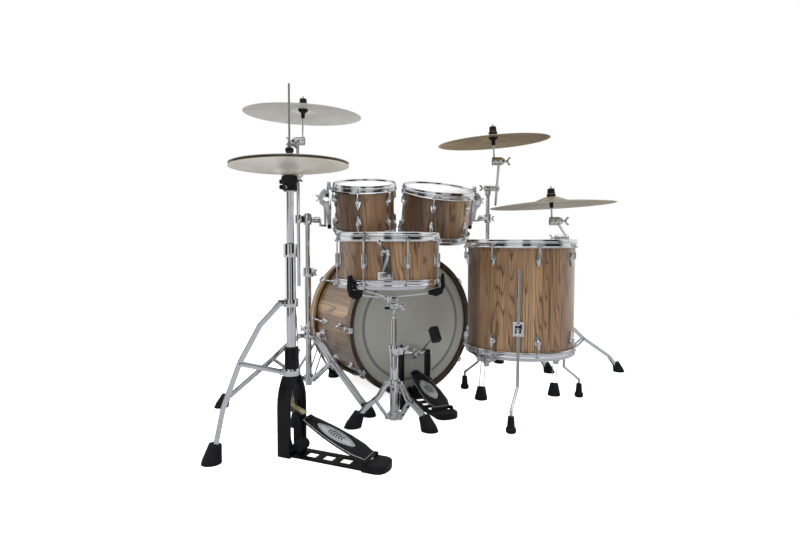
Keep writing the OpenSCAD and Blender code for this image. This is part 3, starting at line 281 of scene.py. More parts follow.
def tipped_plate(name, origin, axis, start):
    """Chrome up to a distance along an axis, then black pressed felt."""
    g = Graph(name)
    _, _, along = g.local(origin, axis)
    marks = g.noise(g.place(), scale=70, detail=4, roughness=0.65)
    tip = g.scaled(along, start - 0.0004, start + 0.0004)
    black = g.ramp(marks, [(0.3, srgb(10, 10, 12)), (0.7, srgb(26, 26, 29))])
    g.feed("Base Color", g.mix(tip, srgb(232, 234, 237), black))
    g.feed("Metallic", g.math("SUBTRACT", 1.0, tip))
    g.feed("Roughness", g.math("MULTIPLY_ADD", tip, 0.7, g.math("MULTIPLY", marks, 0.14)))
    g.bump(g.noise(g.place(), scale=900, detail=2), 0.15, 0.0002)
    return g.mat


# Darkest, middle and lightest tone of each cymbal's bronze
BRONZE_TONES = {
    "crash1": (srgb(214, 211, 202), srgb(232, 229, 221), srgb(244, 241, 234)),
    "crash2": (srgb(132, 110, 74), srgb(160, 137, 98), srgb(190, 168, 128)),
    "ride": (srgb(160, 146, 122), srgb(178, 165, 143), srgb(194, 183, 163)),
    "hats": (srgb(216, 208, 194), srgb(234, 228, 216), srgb(246, 241, 231)),
}


def bronze(name, origin, axis, reach, seed, tones):
    """Lathed bronze: fine turned grooves that stretch its reflections, and hammer dimples."""
    g = Graph(name, Metallic=0.6, Anisotropic=0.75)
    x, y, z = g.local(origin, axis)
    away = g.length(x, y)
    grooves = g.noise(g.combine(g.math("MULTIPLY", away, 1700), 0.0, seed), detail=3, roughness=0.7)
    bands = g.noise(g.combine(g.math("MULTIPLY", away, 60), 0.0, seed + 4), detail=2)
    angle = g.math("ARCTAN2", y, x)
    patina = g.noise(g.combine(g.math("MULTIPLY", away, 14), g.math("SINE", angle),
                               g.math("COSINE", angle)), detail=3)
    # painted reflection: light and dark wedges radiating from the bell, like the streaks lathed bronze
    # reflects
    reflection_wedges = g.noise(g.combine(g.math("MULTIPLY", g.math("SINE", angle), 3.2),
                               g.math("MULTIPLY", g.math("COSINE", angle), 3.2), seed), detail=2)
    tone = g.math("ADD", g.math("MULTIPLY", bands, 0.35), g.math("MULTIPLY", patina, 0.3))
    tone = g.math("MULTIPLY_ADD", reflection_wedges, 0.35, tone)
    colour = g.ramp(tone, [(0.34, tones[0]), (0.50, tones[1]), (0.68, tones[2])])
    rim = g.scaled(away, reach * 0.975, reach * 0.995)
    colour = g.mix(g.math("MULTIPLY", rim, 0.5), colour, srgb(214, 208, 196))
    # painted shade in the turned grooves: fine dark rings along them
    painted_groove_shade = g.mix(0.5, tones[0], srgb(96, 86, 70))
    colour = g.mix(g.math("MULTIPLY", g.scaled(grooves, 0.45, 0.7), 0.4), colour, painted_groove_shade)
    g.feed("Base Color", colour)
    g.feed("Roughness", g.scaled(grooves, 0.3, 0.7, 0.24, 0.40))
    hammer = g.noise(g.combine(x, y, z), scale=48, detail=1)
    g.bump(g.math("ADD", grooves, g.math("MULTIPLY", hammer, 0.6)), 0.35, 0.0004)
    tangent = g.add("Tangent", direction_type="RADIAL", axis="Z")
    g.feed("Tangent", tangent.outputs[0])
    return g.mat


def coated_head(name, origin, axis, radius):
    """White coated film: fine grit, and a greyer ring just inside the hoop."""
    g = Graph(name)
    x, y, _ = g.local(origin, axis)
    # the film turns greyer in a ring just inside the hoop
    grey_ring_by_hoop = g.scaled(g.length(x, y), radius * 0.90, radius * 0.955, 0, 0.35)
    grit = g.noise(g.place(), scale=900, detail=2)
    cloud = g.noise(g.place(), scale=9, detail=2)
    colour = g.ramp(cloud, [(0.3, srgb(231, 232, 232)), (0.7, srgb(241, 241, 240))])
    g.feed("Base Color", g.mix(grey_ring_by_hoop, colour, srgb(176, 178, 180)))
    g.feed("Roughness", g.scaled(grit, 0.3, 0.7, 0.5, 0.68))
    g.bump(grit, 0.25, 0.0002)
    return g.mat


def bass_head(name, origin, axis, radius):
    """Grey-white satin film with a darker reinforcement ring near the edge."""
    g = Graph(name)
    x, y, _ = g.local(origin, axis)
    share = g.math("DIVIDE", g.length(x, y), radius)
    cloud = g.noise(g.place(), scale=5, detail=3)
    film = g.ramp(cloud, [(0.3, srgb(150, 150, 143)), (0.7, srgb(162, 162, 156))])
    film = g.mix(g.scaled(share, 0.80, 0.86, 0, 0.5), film, srgb(142, 142, 133))
    ring = g.ramp(share, [(0.782, (0, 0, 0, 1)), (0.790, (1, 1, 1, 1)),
                          (0.826, (1, 1, 1, 1)), (0.836, (0, 0, 0, 1))])
    colour = g.mix(ring, film, srgb(104, 106, 105))
    colour = g.mix(g.scaled(share, 0.955, 0.965), colour, srgb(60, 58, 54))
    g.feed("Base Color", colour)
    grit = g.noise(g.place(), scale=700, detail=2)
    g.feed("Roughness", g.scaled(grit, 0.3, 0.7, 0.36, 0.5))
    relief = g.math("ADD", g.math("MULTIPLY", grit, 0.3), g.math("MULTIPLY", ring, 0.6))
    g.bump(relief, 0.2, 0.0003)
    return g.mat


def rubber():
    """Moulded rubber: slightly dusty, with a pebbled skin."""
    g = Graph("moulded_rubber", IOR=1.28)
    dust = g.noise(g.place(), scale=22, detail=4)
    pebble = g.noise(g.place(), scale=1100, detail=2)
    g.feed("Base Color", g.ramp(dust, [(0.3, srgb(8, 10, 13)), (0.75, srgb(22, 26, 30))]))
    g.feed("Roughness", g.scaled(dust, 0.3, 0.7, 0.48, 0.68))
    g.bump(pebble, 0.3, 0.0002)
    return g.mat


def black_coat():
    """Black powder coat with a fine orange-peel skin."""
    g = Graph("black_powder_coat", IOR=1.32)
    wear = g.noise(g.place(), scale=30, detail=5, roughness=0.6)
    peel = g.noise(g.place(), scale=700, detail=1)
    g.feed("Base Color", g.ramp(wear, [(0.3, srgb(6, 6, 8)), (0.8, srgb(19, 20, 23))]))
    g.feed("Roughness", g.scaled(wear, 0.3, 0.7, 0.26, 0.42))
    g.bump(peel, 0.2, 0.0002)
    return g.mat


def felt(name, dark, light):
    """Pressed wool felt."""
    g = Graph(name, IOR=1.25, Sheen_Weight=0.06, Sheen_Roughness=0.5)
    fibre = g.noise(g.place(), scale=1600, detail=4, roughness=0.75)
    g.feed("Base Color", g.ramp(fibre, [(0.3, dark), (0.7, light)]))
    g.feed("Roughness", g.scaled(fibre, 0.2, 0.8, 0.85, 1.0))
    g.bump(fibre, 0.6, 0.0005)
    return g.mat


def brushed(name, dark, light):
    """Brushed metal plate with streaks along its length."""
    g = Graph(name, Metallic=0.6)
    stretch = g.add("Mapping", {"Vector": g.place(), "Scale": (900, 40, 40)})
    lines = g.noise(stretch.outputs[0], detail=3)
    g.feed("Base Color", g.ramp(lines, [(0.3, dark), (0.7, light)]))
    g.feed("Roughness", g.scaled(lines, 0.3, 0.7, 0.22, 0.4))
    g.bump(lines, 0.1, 0.0001)
    return g.mat


def pale_floor():
    """White studio floor that meets the white backdrop unseen; chrome sees it as grey."""
    g = Graph("pale_floor", Roughness=0.8, Emission_Color=(1, 1, 1, 1))
    path = g.add("LightPath").outputs
    g.feed("Emission Strength", g.math("MULTIPLY_ADD", path["Is Camera Ray"], 0.70, 0.04))
    dust = g.noise(g.place(), scale=3, detail=3)
    white = g.ramp(dust, [(0.3, srgb(240, 240, 241)), (0.7, srgb(244, 244, 245))])
    g.feed("Base Color", g.mix(path["Is Glossy Ray"], white, srgb(142, 143, 146)))
    return g.mat


# ---------------------------------------------------------------- camera, light and floor
EYE = (-1.274, -1.752, 0.647)
HEADING = -31.1        # degrees about the vertical, from looking along Y
PITCH = -2.65          # degrees above level
LENS = 23.06           # mm, on a 36 mm wide sensor


def make_camera():
    data = bpy.data.cameras.new("view")
    data.sensor_width = 36
    data.lens = LENS
    camera = bpy.data.objects.new("view", data)
    bpy.context.scene.collection.objects.link(camera)
    camera.location = EYE
    camera.rotation_euler = (math.radians(90 + PITCH), 0, math.radians(HEADING))
    bpy.context.scene.camera = camera


def softbox(name, place, target, size, power):
    data = bpy.data.lights.new(name, "AREA")
    data.shape = "RECTANGLE"
    data.size, data.size_y = size
    data.energy = power
    light = bpy.data.objects.new(name, data)
    bpy.context.scene.collection.objects.link(light)
    light.location = place
    light.visible_glossy = False
    light.rotation_euler = (Vector(target) - Vector(place)).to_track_quat("-Z", "Y").to_euler()


HORIZON = [(-180, 0.14), (-140, 0.18), (-128, 0.80), (-94, 0.74), (-82, 0.02), (-48, 0.02),
           (-36, 0.52), (-12, 0.66), (-7, 0.04), (5, 0.04), (12, 0.46), (30, 0.38), (40, 0.02),
           (72, 0.02), (86, 0.74), (150, 0.85), (162, 0.22), (180, 0.14)]
TO_CAMERA = (-0.5164, -0.8564, 0.0)
TO_RIGHT = (0.8564, -0.5164, 0.0)
OVERHEAD = 1.05        # brightness above, in reflections
AMBIENT = 1.08         # brightness all round, to matt surfaces
WHITE = (1, 1, 1, 1)


def grey(value):
    return (value, value, value, 1)


def make_world():
    """White to the camera, soft to matt surfaces, white paper and black flags to gloss."""
    world = bpy.data.worlds.new("studio")
    bpy.context.scene.world = world
    world.use_nodes = True
    g = Nodes(world.node_tree)
    where = g.add("TexCoord").outputs["Generated"]
    front, side = (g.add("VectorMath", {0: where, 1: way}, operation="DOT_PRODUCT").outputs["Value"]
                   for way in (TO_CAMERA, TO_RIGHT))
    turn = g.math("MULTIPLY_ADD", g.math("ARCTAN2", side, front), 0.5 / math.pi, 0.5)
    ring = g.ramp(turn, [(degrees / 360 + 0.5, grey(value)) for degrees, value in HORIZON])
    height = g.add("SeparateXYZ", {0: where}).outputs[2]
    glossy = g.mix(g.scaled(height, 0.5, 0.8), ring, grey(OVERHEAD))
    rays = g.add("LightPath").outputs
    soft = g.mix(rays["Is Glossy Ray"], grey(AMBIENT), glossy)
    seen = g.mix(rays["Is Camera Ray"], soft, WHITE)
    g.tree.links.new(seen, g.tree.nodes["Background"].inputs["Color"])


FLOOR_R = 3.3


def make_studio():
    """Four soft lights, the world and a round floor."""
    bpy.context.scene.view_settings.view_transform = "Standard"
    make_world()
    softbox("top_box", (0, -0.2, 3.2), (0, 0, 0.5), (3.4, 2.6), 52)
    softbox("left_box", (-3.2, -1.2, 1.7), (0, 0, 0.6), (1.6, 2.4), 34)
    softbox("right_box", (2.8, -2.4, 1.9), (0, 0, 0.6), (1.4, 2.2), 40)
    softbox("back_box", (0.4, 3.4, 2.2), (0, 0, 0.7), (3.0, 1.6), 22)
    mesh = bpy.data.meshes.new("studio_floor")
    floor = bpy.data.objects.new("studio_floor", mesh)
    bpy.context.scene.collection.objects.link(floor)
    disc = bmesh.new()
    bmesh.ops.create_circle(disc, cap_ends=True, segments=96, radius=FLOOR_R)
    disc.to_mesh(mesh)
    disc.free()
    mesh.materials.append(pale_floor())


# ---------------------------------------------------------------- CAD nodes
CREASE = 35            # degrees; edges sharper than this stay sharp
NODE_CREASE = 40       # the same for bevels on CAD nodes, whose round faces have coarser facets


def soften(piece, width, limit=CREASE):
    """Bevels a piece's corners, and shades it smooth between its creases."""
    for polygon in piece.data.polygons:
        polygon.use_smooth = True
    if width:
        edge = piece.modifiers.new("edge", "BEVEL")
        edge.width = width
        edge.segments = 2
        edge.limit_method = "ANGLE"
        edge.angle_limit = math.radians(limit)
    tree = bpy.data.node_groups.get("crease") or crease_group()
    piece.modifiers.new("crease", "NODES").node_group = tree


def finish_node(node, material, bevel=0.0):
    """Gives a CAD node its material, joins its split edges and softens its corners."""
    piece = NODES[node]
    piece.data.materials.clear()
    piece.data.materials.append(material)
    weld = piece.modifiers.new("weld", "WELD")
    weld.merge_threshold = 0.00002
    soften(piece, bevel, NODE_CREASE)


def crease_group():
    """Node tree that marks creases sharp after the other modifiers."""
    tree = bpy.data.node_groups.new("crease", "GeometryNodeTree")
    tree.interface.new_socket("Geometry", in_out="INPUT", socket_type="NodeSocketGeometry")
    tree.interface.new_socket("Geometry", in_out="OUTPUT", socket_type="NodeSocketGeometry")
    begin, end = tree.nodes.new("NodeGroupInput"), tree.nodes.new("NodeGroupOutput")
    faces = tree.nodes.new("GeometryNodeSetShadeSmooth")
    edges = tree.nodes.new("GeometryNodeSetShadeSmooth")
    edges.domain = "EDGE"
    angle = tree.nodes.new("GeometryNodeInputMeshEdgeAngle")
    test = tree.nodes.new("FunctionNodeCompare")
    test.operation = "LESS_EQUAL"
    test.inputs[1].default_value = math.radians(CREASE)
    tree.links.new(begin.outputs[0], faces.inputs["Geometry"])
    tree.links.new(faces.outputs[0], edges.inputs["Geometry"])
    tree.links.new(angle.outputs["Unsigned Angle"], test.inputs[0])
    tree.links.new(test.outputs[0], edges.inputs["Shade Smooth"])
    tree.links.new(edges.outputs[0], end.inputs[0])
    return tree


ALONG = Vector((0, 1, 0))      # the bass drum's axis
TOM1, TOM2 = joint_axis("tom1_turn"), joint_axis("tom2_turn")
# Axis, seed, knots as (degrees, height, size), and tones as (degrees, tone) round each drum; the tones
# are partly the veneer's own leaf tones and partly painted shade, low on the sides that lie in shade
SHELLS = {
    "kick_shell": (ALONG, 2.0, (), ()),
    "tom1_shell": (TOM1, 11.0, ((-69, 0.004, 0.0045),),
                   ((-180, .05), (-141, .08), (-114, .3), (-99, .7), (-79, .6), (-54, .45),
                    (0, .3), (60, .7), (120, .4), (180, .05))),
    "tom2_shell": (TOM2, 23.0, ((-96, 0.004, 0.0050),),
                   ((-180, .2), (-160, .02), (-106, .02), (-98, .75), (-70, .95), (-40, .5),
                    (40, .2), (90, .6), (150, .3))),
    "floor_tom_shell": (UP, 37.0, (),
                        ((-180, .4), (-171, .62), (-150, .72), (-118, .85), (-100, .55),
                         (-85, .3), (-60, .45), (0, .6), (72, .4), (126, .65), (166, .12))),
    "snare_shell": (UP, 53.0, ((-76, 0.0, 0.0045),),
                    ((-180, .5), (-150, .25), (-135, .4), (-115, .8), (-95, .75), (-76, .6),
                     (-50, .4), (40, .7), (110, .3), (160, .5))),
}
BEATER_LEAN = 54       # degrees that the beater's shaft leans back at rest


def dress_drums():
    for node, (axis, seed, knots, tones) in SHELLS.items():
        finish_node(node, veneer("veneer_" + node, middle(node), axis, half_width(node), seed,
                                 knots, tones=tones))
    finish_node("kick_hoops", veneer("veneer_kick_hoops", middle("kick_hoops"), ALONG, 0.3, 71.0,
                                     along_hoop=True, faces=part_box("kick_hoops")[1].y))
    for drum, axis in (("tom1", TOM1), ("tom2", TOM2), ("floor_tom", UP), ("snare", UP)):
        heads = drum + "_heads"
        finish_node(heads, coated_head("film_" + drum, middle(heads), axis, half_width(heads)))
    finish_node("kick_heads", bass_head("film_kick", middle("kick_heads"), ALONG,
                                        half_width("kick_heads")))


def dress_bronze():
    for number, name in enumerate(("crash1", "crash2", "ride")):
        node, spin = name + "_cymbal", name + "_spin"
        finish_node(node, bronze("bronze_" + node, joint_at(spin), joint_axis(spin),
                                 half_width(node), number * 5.0, BRONZE_TONES[name]))
    for number, node in enumerate(("hihat_top_cymbal", "hihat_bottom_cymbal")):
        finish_node(node, bronze("bronze_" + node, middle(node), UP, half_width(node),
                                 20.0 + number, BRONZE_TONES["hats"]))


def dress_nodes(mats):
    """A material for every CAD node; those with none of their own are chrome."""
    dress_drums()
    dress_bronze()
    for node in ("rubber_feet", "snare_stand_grips"):
        finish_node(node, mats["rubber"], 0.0012)
    for node in ("kick_pedal_frame", "kick_pedal_footboard", "hihat_base", "hihat_footboard"):
        finish_node(node, mats["black"], 0.0008)
    shaft = turned(BEATER_LEAN, joint_axis("beater_swing")).to_3x3() @ UP
    felt_from = 0.136
    finish_node("kick_pedal_beater", tipped_plate("beater_plate", joint_at("beater_swing"), shaft,
                                                  felt_from), 0.0006)
    finish_node("hihat_rod", mats["steel"], 0.0004)
    for node in [n for n in NODES if not NODES[n].modifiers]:
        finish_node(node, mats["chrome"], 0.0004)


# ---------------------------------------------------------------- building pieces
def add_piece(name, data, material, body, place):
    """Links a new piece, gives it its material and slot, and its body unless it is blended."""
    piece = bpy.data.objects.new(name, data)
    bpy.context.scene.collection.objects.link(piece)
    data.materials.append(material)
    piece.matrix_world = place
    if body is not None:
        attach(piece, body)
    return piece


def solid(name, shape, place, material, body, bevel):
    """A piece from a bmesh, with its corners rounded by a bevel in millimetres."""
    mesh = bpy.data.meshes.new(name)
    bmesh.ops.recalc_face_normals(shape, faces=shape.faces)
    shape.to_mesh(mesh)
    shape.free()
    piece = add_piece(name, mesh, material, body, place)
    soften(piece, bevel * MM)
    return piece


def lathe(name, profile, place, material, body, steps=48):
    """A turned piece about its own Z from a closed (radius, height) outline in millimetres."""
    shape = bmesh.new()
    rings = [[shape.verts.new((r * MM * math.cos(turn), r * MM * math.sin(turn), z * MM))
              for r, z in profile]
             for turn in (2 * math.pi * i / steps for i in range(steps))]
    for i in range(steps):
        here, there = rings[i], rings[(i + 1) % steps]
        for k in range(len(profile)):
            n = (k + 1) % len(profile)
            shape.faces.new((here[k], there[k], there[n], here[n]))
    return solid(name, shape, place, material, body, 0.6)


def prism(shape, outline, low, high):
    """Adds a flat-sided block on an (x, y) outline in millimetres to a bmesh."""
    base = [shape.verts.new((x * MM, y * MM, low * MM)) for x, y in outline]
    lid = [shape.verts.new((x * MM, y * MM, high * MM)) for x, y in outline]
    shape.faces.new(base[::-1])
    shape.faces.new(lid)
    for i in range(len(outline)):
        k = (i + 1) % len(outline)
        shape.faces.new((base[i], base[k], lid[k], lid[i]))


def blocks(name, parts, place, material, body, bevel=0.4):
    """One piece from several prisms: parts are (outline, low, high) in millimetres."""
    shape = bmesh.new()
    for outline, low, high in parts:
        prism(shape, outline, low, high)
    return solid(name, shape, place, material, body, bevel)


def wire(name, points, radius, place, material, body, closed=False):
    """A round wire of a radius through points, in millimetres."""
    curve = bpy.data.curves.new(name, "CURVE")
    curve.dimensions = "3D"
    curve.bevel_depth = radius * MM
    curve.bevel_resolution = 3
    curve.use_fill_caps = True
    line = curve.splines.new("POLY")
    line.points.add(len(points) - 1)
    for point, (x, y, z) in zip(line.points, points):
        point.co = (x * MM, y * MM, z * MM, 1)
    line.use_cyclic_u = closed
    line.use_smooth = True
    return add_piece(name, curve, material, body, place)


def rectangle(x, y, wide, deep):
    """Outline of a rectangle about a centre."""
    return [(x - wide / 2, y - deep / 2), (x + wide / 2, y - deep / 2),
            (x + wide / 2, y + deep / 2), (x - wide / 2, y + deep / 2)]


# ---------------------------------------------------------------- cymbal seats
def seat_stack(name, place, crown, body, mats):
    """Sleeve, cup, two felts and a ridged topper on a tilter's rod; crown is the bell's top."""
    under = crown - 1.4
    lathe(name + "_sleeve", [(3.5, under - 46), (6.2, under - 46), (7.6, under - 38),
                             (7.8, under - 25), (3.5, under - 25)],
          place, mats["rubber"], body)
    lathe(name + "_cup", [(3.5, under - 25), (9.5, under - 24.6), (15.6, under - 20.5),
                          (19.8, under - 14.8), (20.8, under - 10.4), (3.5, under - 10.4)],
          place, mats["rubber"], body)
    lathe(name + "_lower_felt", [(3.5, under - 10.3), (17.2, under - 10.3), (17.8, under - 8),
                                 (17.5, under - 3.4), (8.3, under - 1.0), (3.5, under - 1.0)],
          place, mats["felt"], body)
    lathe(name + "_upper_felt", [(3.5, crown + 0.7), (8, crown + 0.4), (16.8, crown - 1.0),
                                 (17.8, crown + 1.5), (17.6, crown + 7.4), (16.4, crown + 9.4),
                                 (3.5, crown + 9.4)],
          place, mats["felt"], body)
    knurl = [(14.8, crown + 9.6), (15.2, crown + 12)]
    for step in range(4):
        z = crown + 13.5 + 3.4 * step
        knurl += [(15.1 - 0.3 * step, z), (14.5 - 0.3 * step, z + 1), (15.0 - 0.3 * step, z + 2)]
    knurl += [(13.6, crown + 28.5), (12.0, crown + 31), (3.5, crown + 31.2)]
    lathe(name + "_topper", [(3.5, crown + 9.6)] + knurl, place, mats["topper"], body)


# Height of each cymbal's bell above its turning point, in millimetres
CROWNS = {"crash1": 34, "crash2": 34, "ride": 38}


def dress_cymbals(mats):
    for name, crown in CROWNS.items():
        spin = name + "_spin"
        seat_stack(name, placed(joint_at(spin), joint_axis(spin)), crown, name + "_arm", mats)


def dress_hihat_cymbals(mats):
    """Tension housing under the lower cymbal, and clutch felt and ball above the upper one."""
    tube_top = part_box("hihat_upper_tube")[1].z
    seat = Matrix.Translation((HIHAT_ROD.x, HIHAT_ROD.y, tube_top))
    lathe("hihat_seat", [(4.8, 0.3), (17, 0.3), (22.6, -1.6), (24.8, -4), (24.8, -18),
                         (22.4, -21), (21.6, -30), (22.6, -33), (21.6, -43), (18.6, -46.6),
                         (11.4, -46.6), (11.4, -40)],
          seat, mats["rubber"], "hihat_upper")
    side = seat @ turned(149, "Z") @ OUTWARD
    for number, drop in enumerate((18, 34)):
        knob = shifted(z=-drop) @ side
        lathe("hihat_seat_knob_%d" % number, [(1, 20), (6, 20), (7, 22), (7, 28), (5.6, 31),
                                              (1, 31)],
              knob, mats["rubber"], "hihat_upper", 24)
    lathe("hihat_seat_felt", [(4.8, 0.4), (16, 0.4), (16.6, 0.8), (16, 1.4), (4.8, 1.4)],
          seat, mats["felt"], "hihat_upper")
    bell_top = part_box("hihat_top_cymbal")[1].z
    crown = Matrix.Translation((HIHAT_ROD.x, HIHAT_ROD.y, bell_top))
    lathe("hihat_clutch_felt", [(3.4, 1.2), (10, 1.2), (10.6, 2), (10.6, 4.6), (3.4, 4.6)],
          crown, mats["felt"], "hihat_pull")
    lathe("hihat_clutch_ball", [(3.4, 4.8), (9.4, 5), (12.2, 8), (12.8, 11), (12.8, 15),
                                (11.8, 18.2), (8.6, 20.4), (3.4, 20.6)], crown, mats["rubber"],
          "hihat_pull")


# ---------------------------------------------------------------- pedals
def almond(centre, half_long, half_wide, count=22):
    """A pointed oval along Y."""
    right = [(half_wide * math.cos(math.pi * t / 2) ** 1.25,
              centre + half_long * math.sin(math.pi * t / 2))
             for t in (i / count for i in range(-count + 1, count))]
    left = [(-x, y) for x, y in reversed(right)]
    return right + [(0.0, centre + half_long)] + left + [(0.0, centre - half_long)]


def board_outline(long):
    """Outline of a footboard from its heel, widest at two fifths of its length."""
    half = [(33, 4), (34, 14), (43, 40), (45, 0.4 * long), (40, 0.65 * long), (30, 0.87 * long),
            (23, long - 0.8)]
    return half + [(-x, y) for x, y in reversed(half)]


PLATE_AT = 122         # mm from a board's heel to the middle of its insert plate
CHEVRON_REACH = (11, 14, 16, 16, 14, 11)


def dress_board(name, place, long, body, mats):
    """Bare metal edge line, and an almond plate with an engraved line and raised chevrons."""
    wire(name + "_edge", [(x * 0.985, y, 6.0) for x, y in board_outline(long)], 0.9, place,
         mats["silver"], body, closed=True)
    blocks(name + "_plate", [(almond(PLATE_AT, 67, 27), 5.6, 7.0)], place, mats["plate"], body,
           0.3)
    wire(name + "_plate_line", [(x, y, 7.0) for x, y in almond(PLATE_AT, 60, 23)], 0.55, place,
         mats["black"], body, closed=True)
    bars = []
    for row, reach in enumerate(CHEVRON_REACH):
        y = PLATE_AT - 22 + 9 * row
        for side in (-1, 1):
            bars.append(([(0, y), (side * reach, y - 5), (side * reach, y - 1.5), (0, y + 3.5)],
                         6.8, 7.7))
    blocks(name + "_chevrons", bars, place, mats["black"], body, 0.2)


LINK_PITCH = 6.4


def chain_links(start, end):
    """Waisted side plates of a chain in the YZ plane, as prisms across X."""
    run = end - start
    along = run.normalized()
    across = Vector((0, -along.z, along.y))
    parts = []
    for i in range(int(run.length / LINK_PITCH)):
        centre = start + along * LINK_PITCH * (i + 0.5)
        outline = []
        for turn in (2 * math.pi * k / 14 for k in range(14)):
            half_wide = 2.7 if abs(math.cos(turn)) > 0.5 else 2.2
            point = centre + along * 4.6 * math.cos(turn) + across * half_wide * math.sin(turn)
            outline.append((point.y, point.z))
        inner = 1.9 if i % 2 else 3.1
        parts.append((outline, inner, inner + 1.1))
        parts.append((outline, -inner - 1.1, -inner))
    return parts


KICK_BOARD, KICK_BOARD_RISE = 258, 17        # length in mm, and slope in degrees
HIHAT_BOARD, HIHAT_BOARD_RISE = 230, 22
SPRING_TURNS, SPRING_STEPS = 17, 16


def dress_kick_pedal(mats):
    axle = facing(joint_at("beater_swing"), joint_axis("beater_swing"))
    hinge = facing(joint_at("kick_pedal"), joint_axis("kick_pedal"), KICK_BOARD_RISE)
    dress_board("kick_board", hinge, KICK_BOARD, "kick_footboard", mats)
    # beater head: a dense rounded block, lying across the end of its shaft
    head = axle @ turned(BEATER_LEAN, "X") @ shifted(x=28, z=165) @ turned(90, "X")
    corner = [(-17.4, -9), (-14.5, -15.5), (-9, -18.4), (9, -18.4), (14.5, -15.5), (17.4, -9),
              (17.4, 9), (14.5, 15.5), (9, 18.4), (-9, 18.4), (-14.5, 15.5), (-17.4, 9)]
    blocks("beater_head", [(corner, -28.2, 28.2)], head, mats["felt"], "kick_beater",
           4.0)
    # chain from the wheel down to the toe: its top stays at the wheel, its foot on the board
    top, foot = Vector((0, 25, -6)), Vector((0, 3, -76))
    hung = axle @ shifted(x=-5)
    chain = blocks("pedal_chain", chain_links(top, foot), hung @ ON_EDGE, mats["chrome"],
                   None, 0.15)
    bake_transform(chain)
    # return spring beside the right post, on a bracket
    coils = [(73 + 5.2 * math.cos(t), 5.2 * math.sin(t), -28 - 62 * t / (2 * math.pi * SPRING_TURNS))
             for t in (2 * math.pi * i / SPRING_STEPS for i in range(SPRING_TURNS * SPRING_STEPS + 1))]
    wire("pedal_spring", coils, 1.05, axle, mats["chrome"], "base")
    wire("pedal_spring_rod", [(73, 0, -88), (73, 0, -132)], 2.6, axle, mats["chrome"], "base")
    blocks("pedal_spring_bracket", [(rectangle(70, 0, 18, 18), -122, -114)], axle, mats["black"],
           "base", 1.0)


def dress_hihat_pedal(mats):
    """Footboard, pull link, curved struts and tension drum at the foot of the hi-hat."""
    hinge_axis = joint_axis("hihat_pedal")
    hinge = facing(joint_at("hihat_pedal"), hinge_axis, HIHAT_BOARD_RISE)
    dress_board("hihat_board", hinge, HIHAT_BOARD, "hihat_board", mats)
    # X across the frame's plates, Y from the heel to the rod
    foot = facing((HIHAT_ROD.x, HIHAT_ROD.y, 0), hinge_axis)
    link = [(2, 172), (2, 152), (-8, 142.5), (-26, 138.2), (-48, 129), (-49, 132.4), (-26, 141.4),
            (-9.5, 146), (-1.5, 153.5), (-1.5, 172)]
    blocks("hihat_link", [(link, -9.6, 9.6)], foot @ ON_EDGE, mats["brass"], "hihat_pull",
           0.8)
    for number, side in enumerate((-1, 1)):
        strut = [(side * 35, 4, 152), (side * 36, 2, 132), (side * 31, -3, 112), (side * 28, -8, 84),
                 (side * 28, -12, 52), (side * 26, -20, 22)]
        wire("hihat_strut_%d" % number, strut, 3.4, foot, mats["black"], "base")
    lathe("hihat_tension_drum", [(2, -21), (15, -21), (17.5, -18.5), (17.5, -9), (15.5, -7.5),
                                 (15.5, 7.5), (17.5, 9), (17.5, 18.5), (15, 21), (2, 21)],
          foot @ shifted(y=-34, z=30) @ OUTWARD, mats["rubber"], "base")


# ---------------------------------------------------------------- small fittings
STRAINER_TURN = 237    # degrees round the snare drum
STRAINER_DROP = 48.5   # mm from the middle of the shell down to the strainer's foot


def dress_strainer(mats):
    """Inset and two screw heads on the foot of the snare's strainer."""
    radius = half_width("snare_shell") / MM
    face = Matrix.Translation(middle("snare_shell")) @ shifted(z=-STRAINER_DROP)
    face = face @ turned(STRAINER_TURN, "Z")
    blocks("strainer_inset", [(rectangle(0, 0, 9, 36), radius + 19.6, radius + 21)],
           face @ OUTWARD, mats["steel"], "snare", 0.4)
    for number, side in enumerate((-12, 12)):
        lathe("strainer_knob_%d" % number, [(1, radius + 20.6), (5.4, radius + 20.6),
                                            (5.6, radius + 24), (4.4, radius + 25.6),
                                            (1, radius + 25.6)],
              face @ shifted(y=side) @ OUTWARD, mats["chrome"], "snare", 24)


# Degrees round the shell to each tom's bracket, and the shell's depth in millimetres
TOM_BRACKETS = {"tom1": (172, 222), "tom2": (-8, 226)}
ARM_OUT = 52           # mm from a tom's shell to its arm
ARC_OUT = 19           # mm from the shell to the suspension hoop
ARC_DROP = 29          # mm from the shell's top to the suspension hoop


def dress_tom_bracket(name, degrees, depth, mats):
    """Cast bracket plate with a rubber-tipped toe, and the two sides of its suspension hoop."""
    axis, centre = joint_axis(name + "_turn"), middle(name + "_shell")
    offset = joint_at(name + "_turn") - centre
    radius = (offset - axis * offset.dot(axis)).length / MM - ARM_OUT
    rim = placed(centre + axis * depth * MM / 2, axis, degrees)
    radial = rim @ shifted(x=radius)
    plate = [(29, -22), (60, -26), (73, -44), (72, -80), (58, -92), (46, -126), (41, -172),
             (28, -172), (25, -104), (24, -60)]
    blocks(name + "_mount_plate", [(plate, -8.5, 8.5)], radial @ turned(90, "X"), mats["silver"],
           name, 2.5)
    lathe(name + "_mount_tip", [(1, -190), (7, -189.6), (8.6, -186), (8.6, -174), (7.6, -171),
                                (1, -171)],
          radial @ shifted(x=34.5), mats["rubber"], name, 32)
    reach = radius + ARC_OUT
    for number, way in enumerate((-1, 1)):
        arc = [(reach * math.cos(t), reach * math.sin(t), -ARC_DROP)
               for t in (way * math.radians(6 + 3 * k) for k in range(14))]
        wire(name + "_mount_arc_%d" % number, arc, 3.0, rim, mats["black"], name)


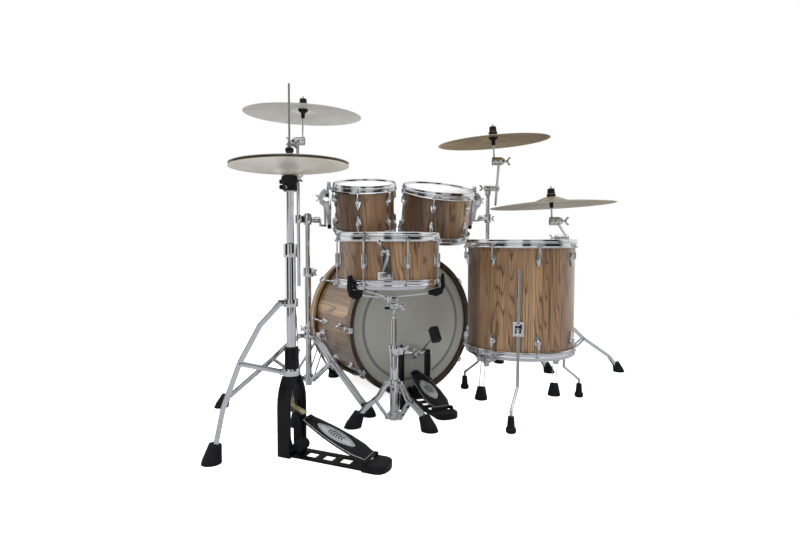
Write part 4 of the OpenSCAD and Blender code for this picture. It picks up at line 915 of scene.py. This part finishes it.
def dress_basket(mats):
    """Black knob under the hub of the snare's basket."""
    centre = middle("snare_shell")
    under = Matrix.Translation((centre.x, centre.y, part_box("snare_stand_basket")[0].z))
    lathe("basket_knob", [(7.2, 0.5), (14, 0.5), (15.8, 3), (15.8, 9), (14, 12), (7.2, 12)],
          under, mats["rubber"], "snare", 32)


LEG_TURNS = (96, 224.5, 352)   # degrees round the floor tom to its legs
LEG_BRACKET_Z = 0.340


def dress_leg_brackets(mats):
    """Dark inset with a bright band in each of the floor tom's leg brackets."""
    centre = middle("floor_tom_shell")
    radius = half_width("floor_tom_shell") / MM
    for number, degrees in enumerate(LEG_TURNS):
        bracket = Matrix.Translation((centre.x, centre.y, LEG_BRACKET_Z))
        bracket = bracket @ turned(degrees, "Z") @ OUTWARD
        blocks("leg_bracket_inset_%d" % number,
               [(rectangle(-3, 0, 27, 21), radius + 31.6, radius + 33.4)], bracket,
               mats["rubber"], "floor_tom", 0.6)
        blocks("leg_bracket_band_%d" % number,
               [(rectangle(-5, 0, 4, 17), radius + 33, radius + 34.2)], bracket,
               mats["silver"], "floor_tom", 0.4)


# ---------------------------------------------------------------- the scene
def build():
    make_camera()
    make_studio()
    mats = {"chrome": chrome(), "rubber": rubber(), "black": black_coat(),
            "felt": felt("black_felt", srgb(12, 12, 14), srgb(34, 34, 37)),
            "topper": felt("brown_topper", srgb(20, 13, 10), srgb(44, 30, 24)),
            "plate": brushed("grey_plate", srgb(158, 160, 162), srgb(206, 208, 210)),
            "brass": brushed("brass_plate", srgb(150, 138, 100), srgb(196, 186, 150)),
            "steel": brushed("dark_steel", srgb(96, 92, 88), srgb(140, 137, 133)),
            "silver": brushed("silver_plate", srgb(150, 152, 156), srgb(200, 202, 205))}
    dress_nodes(mats)
    dress_cymbals(mats)
    dress_hihat_cymbals(mats)
    dress_kick_pedal(mats)
    dress_hihat_pedal(mats)
    dress_strainer(mats)
    for name, (degrees, depth) in TOM_BRACKETS.items():
        dress_tom_bracket(name, degrees, depth, mats)
    dress_basket(mats)
    dress_leg_brackets(mats)


build()
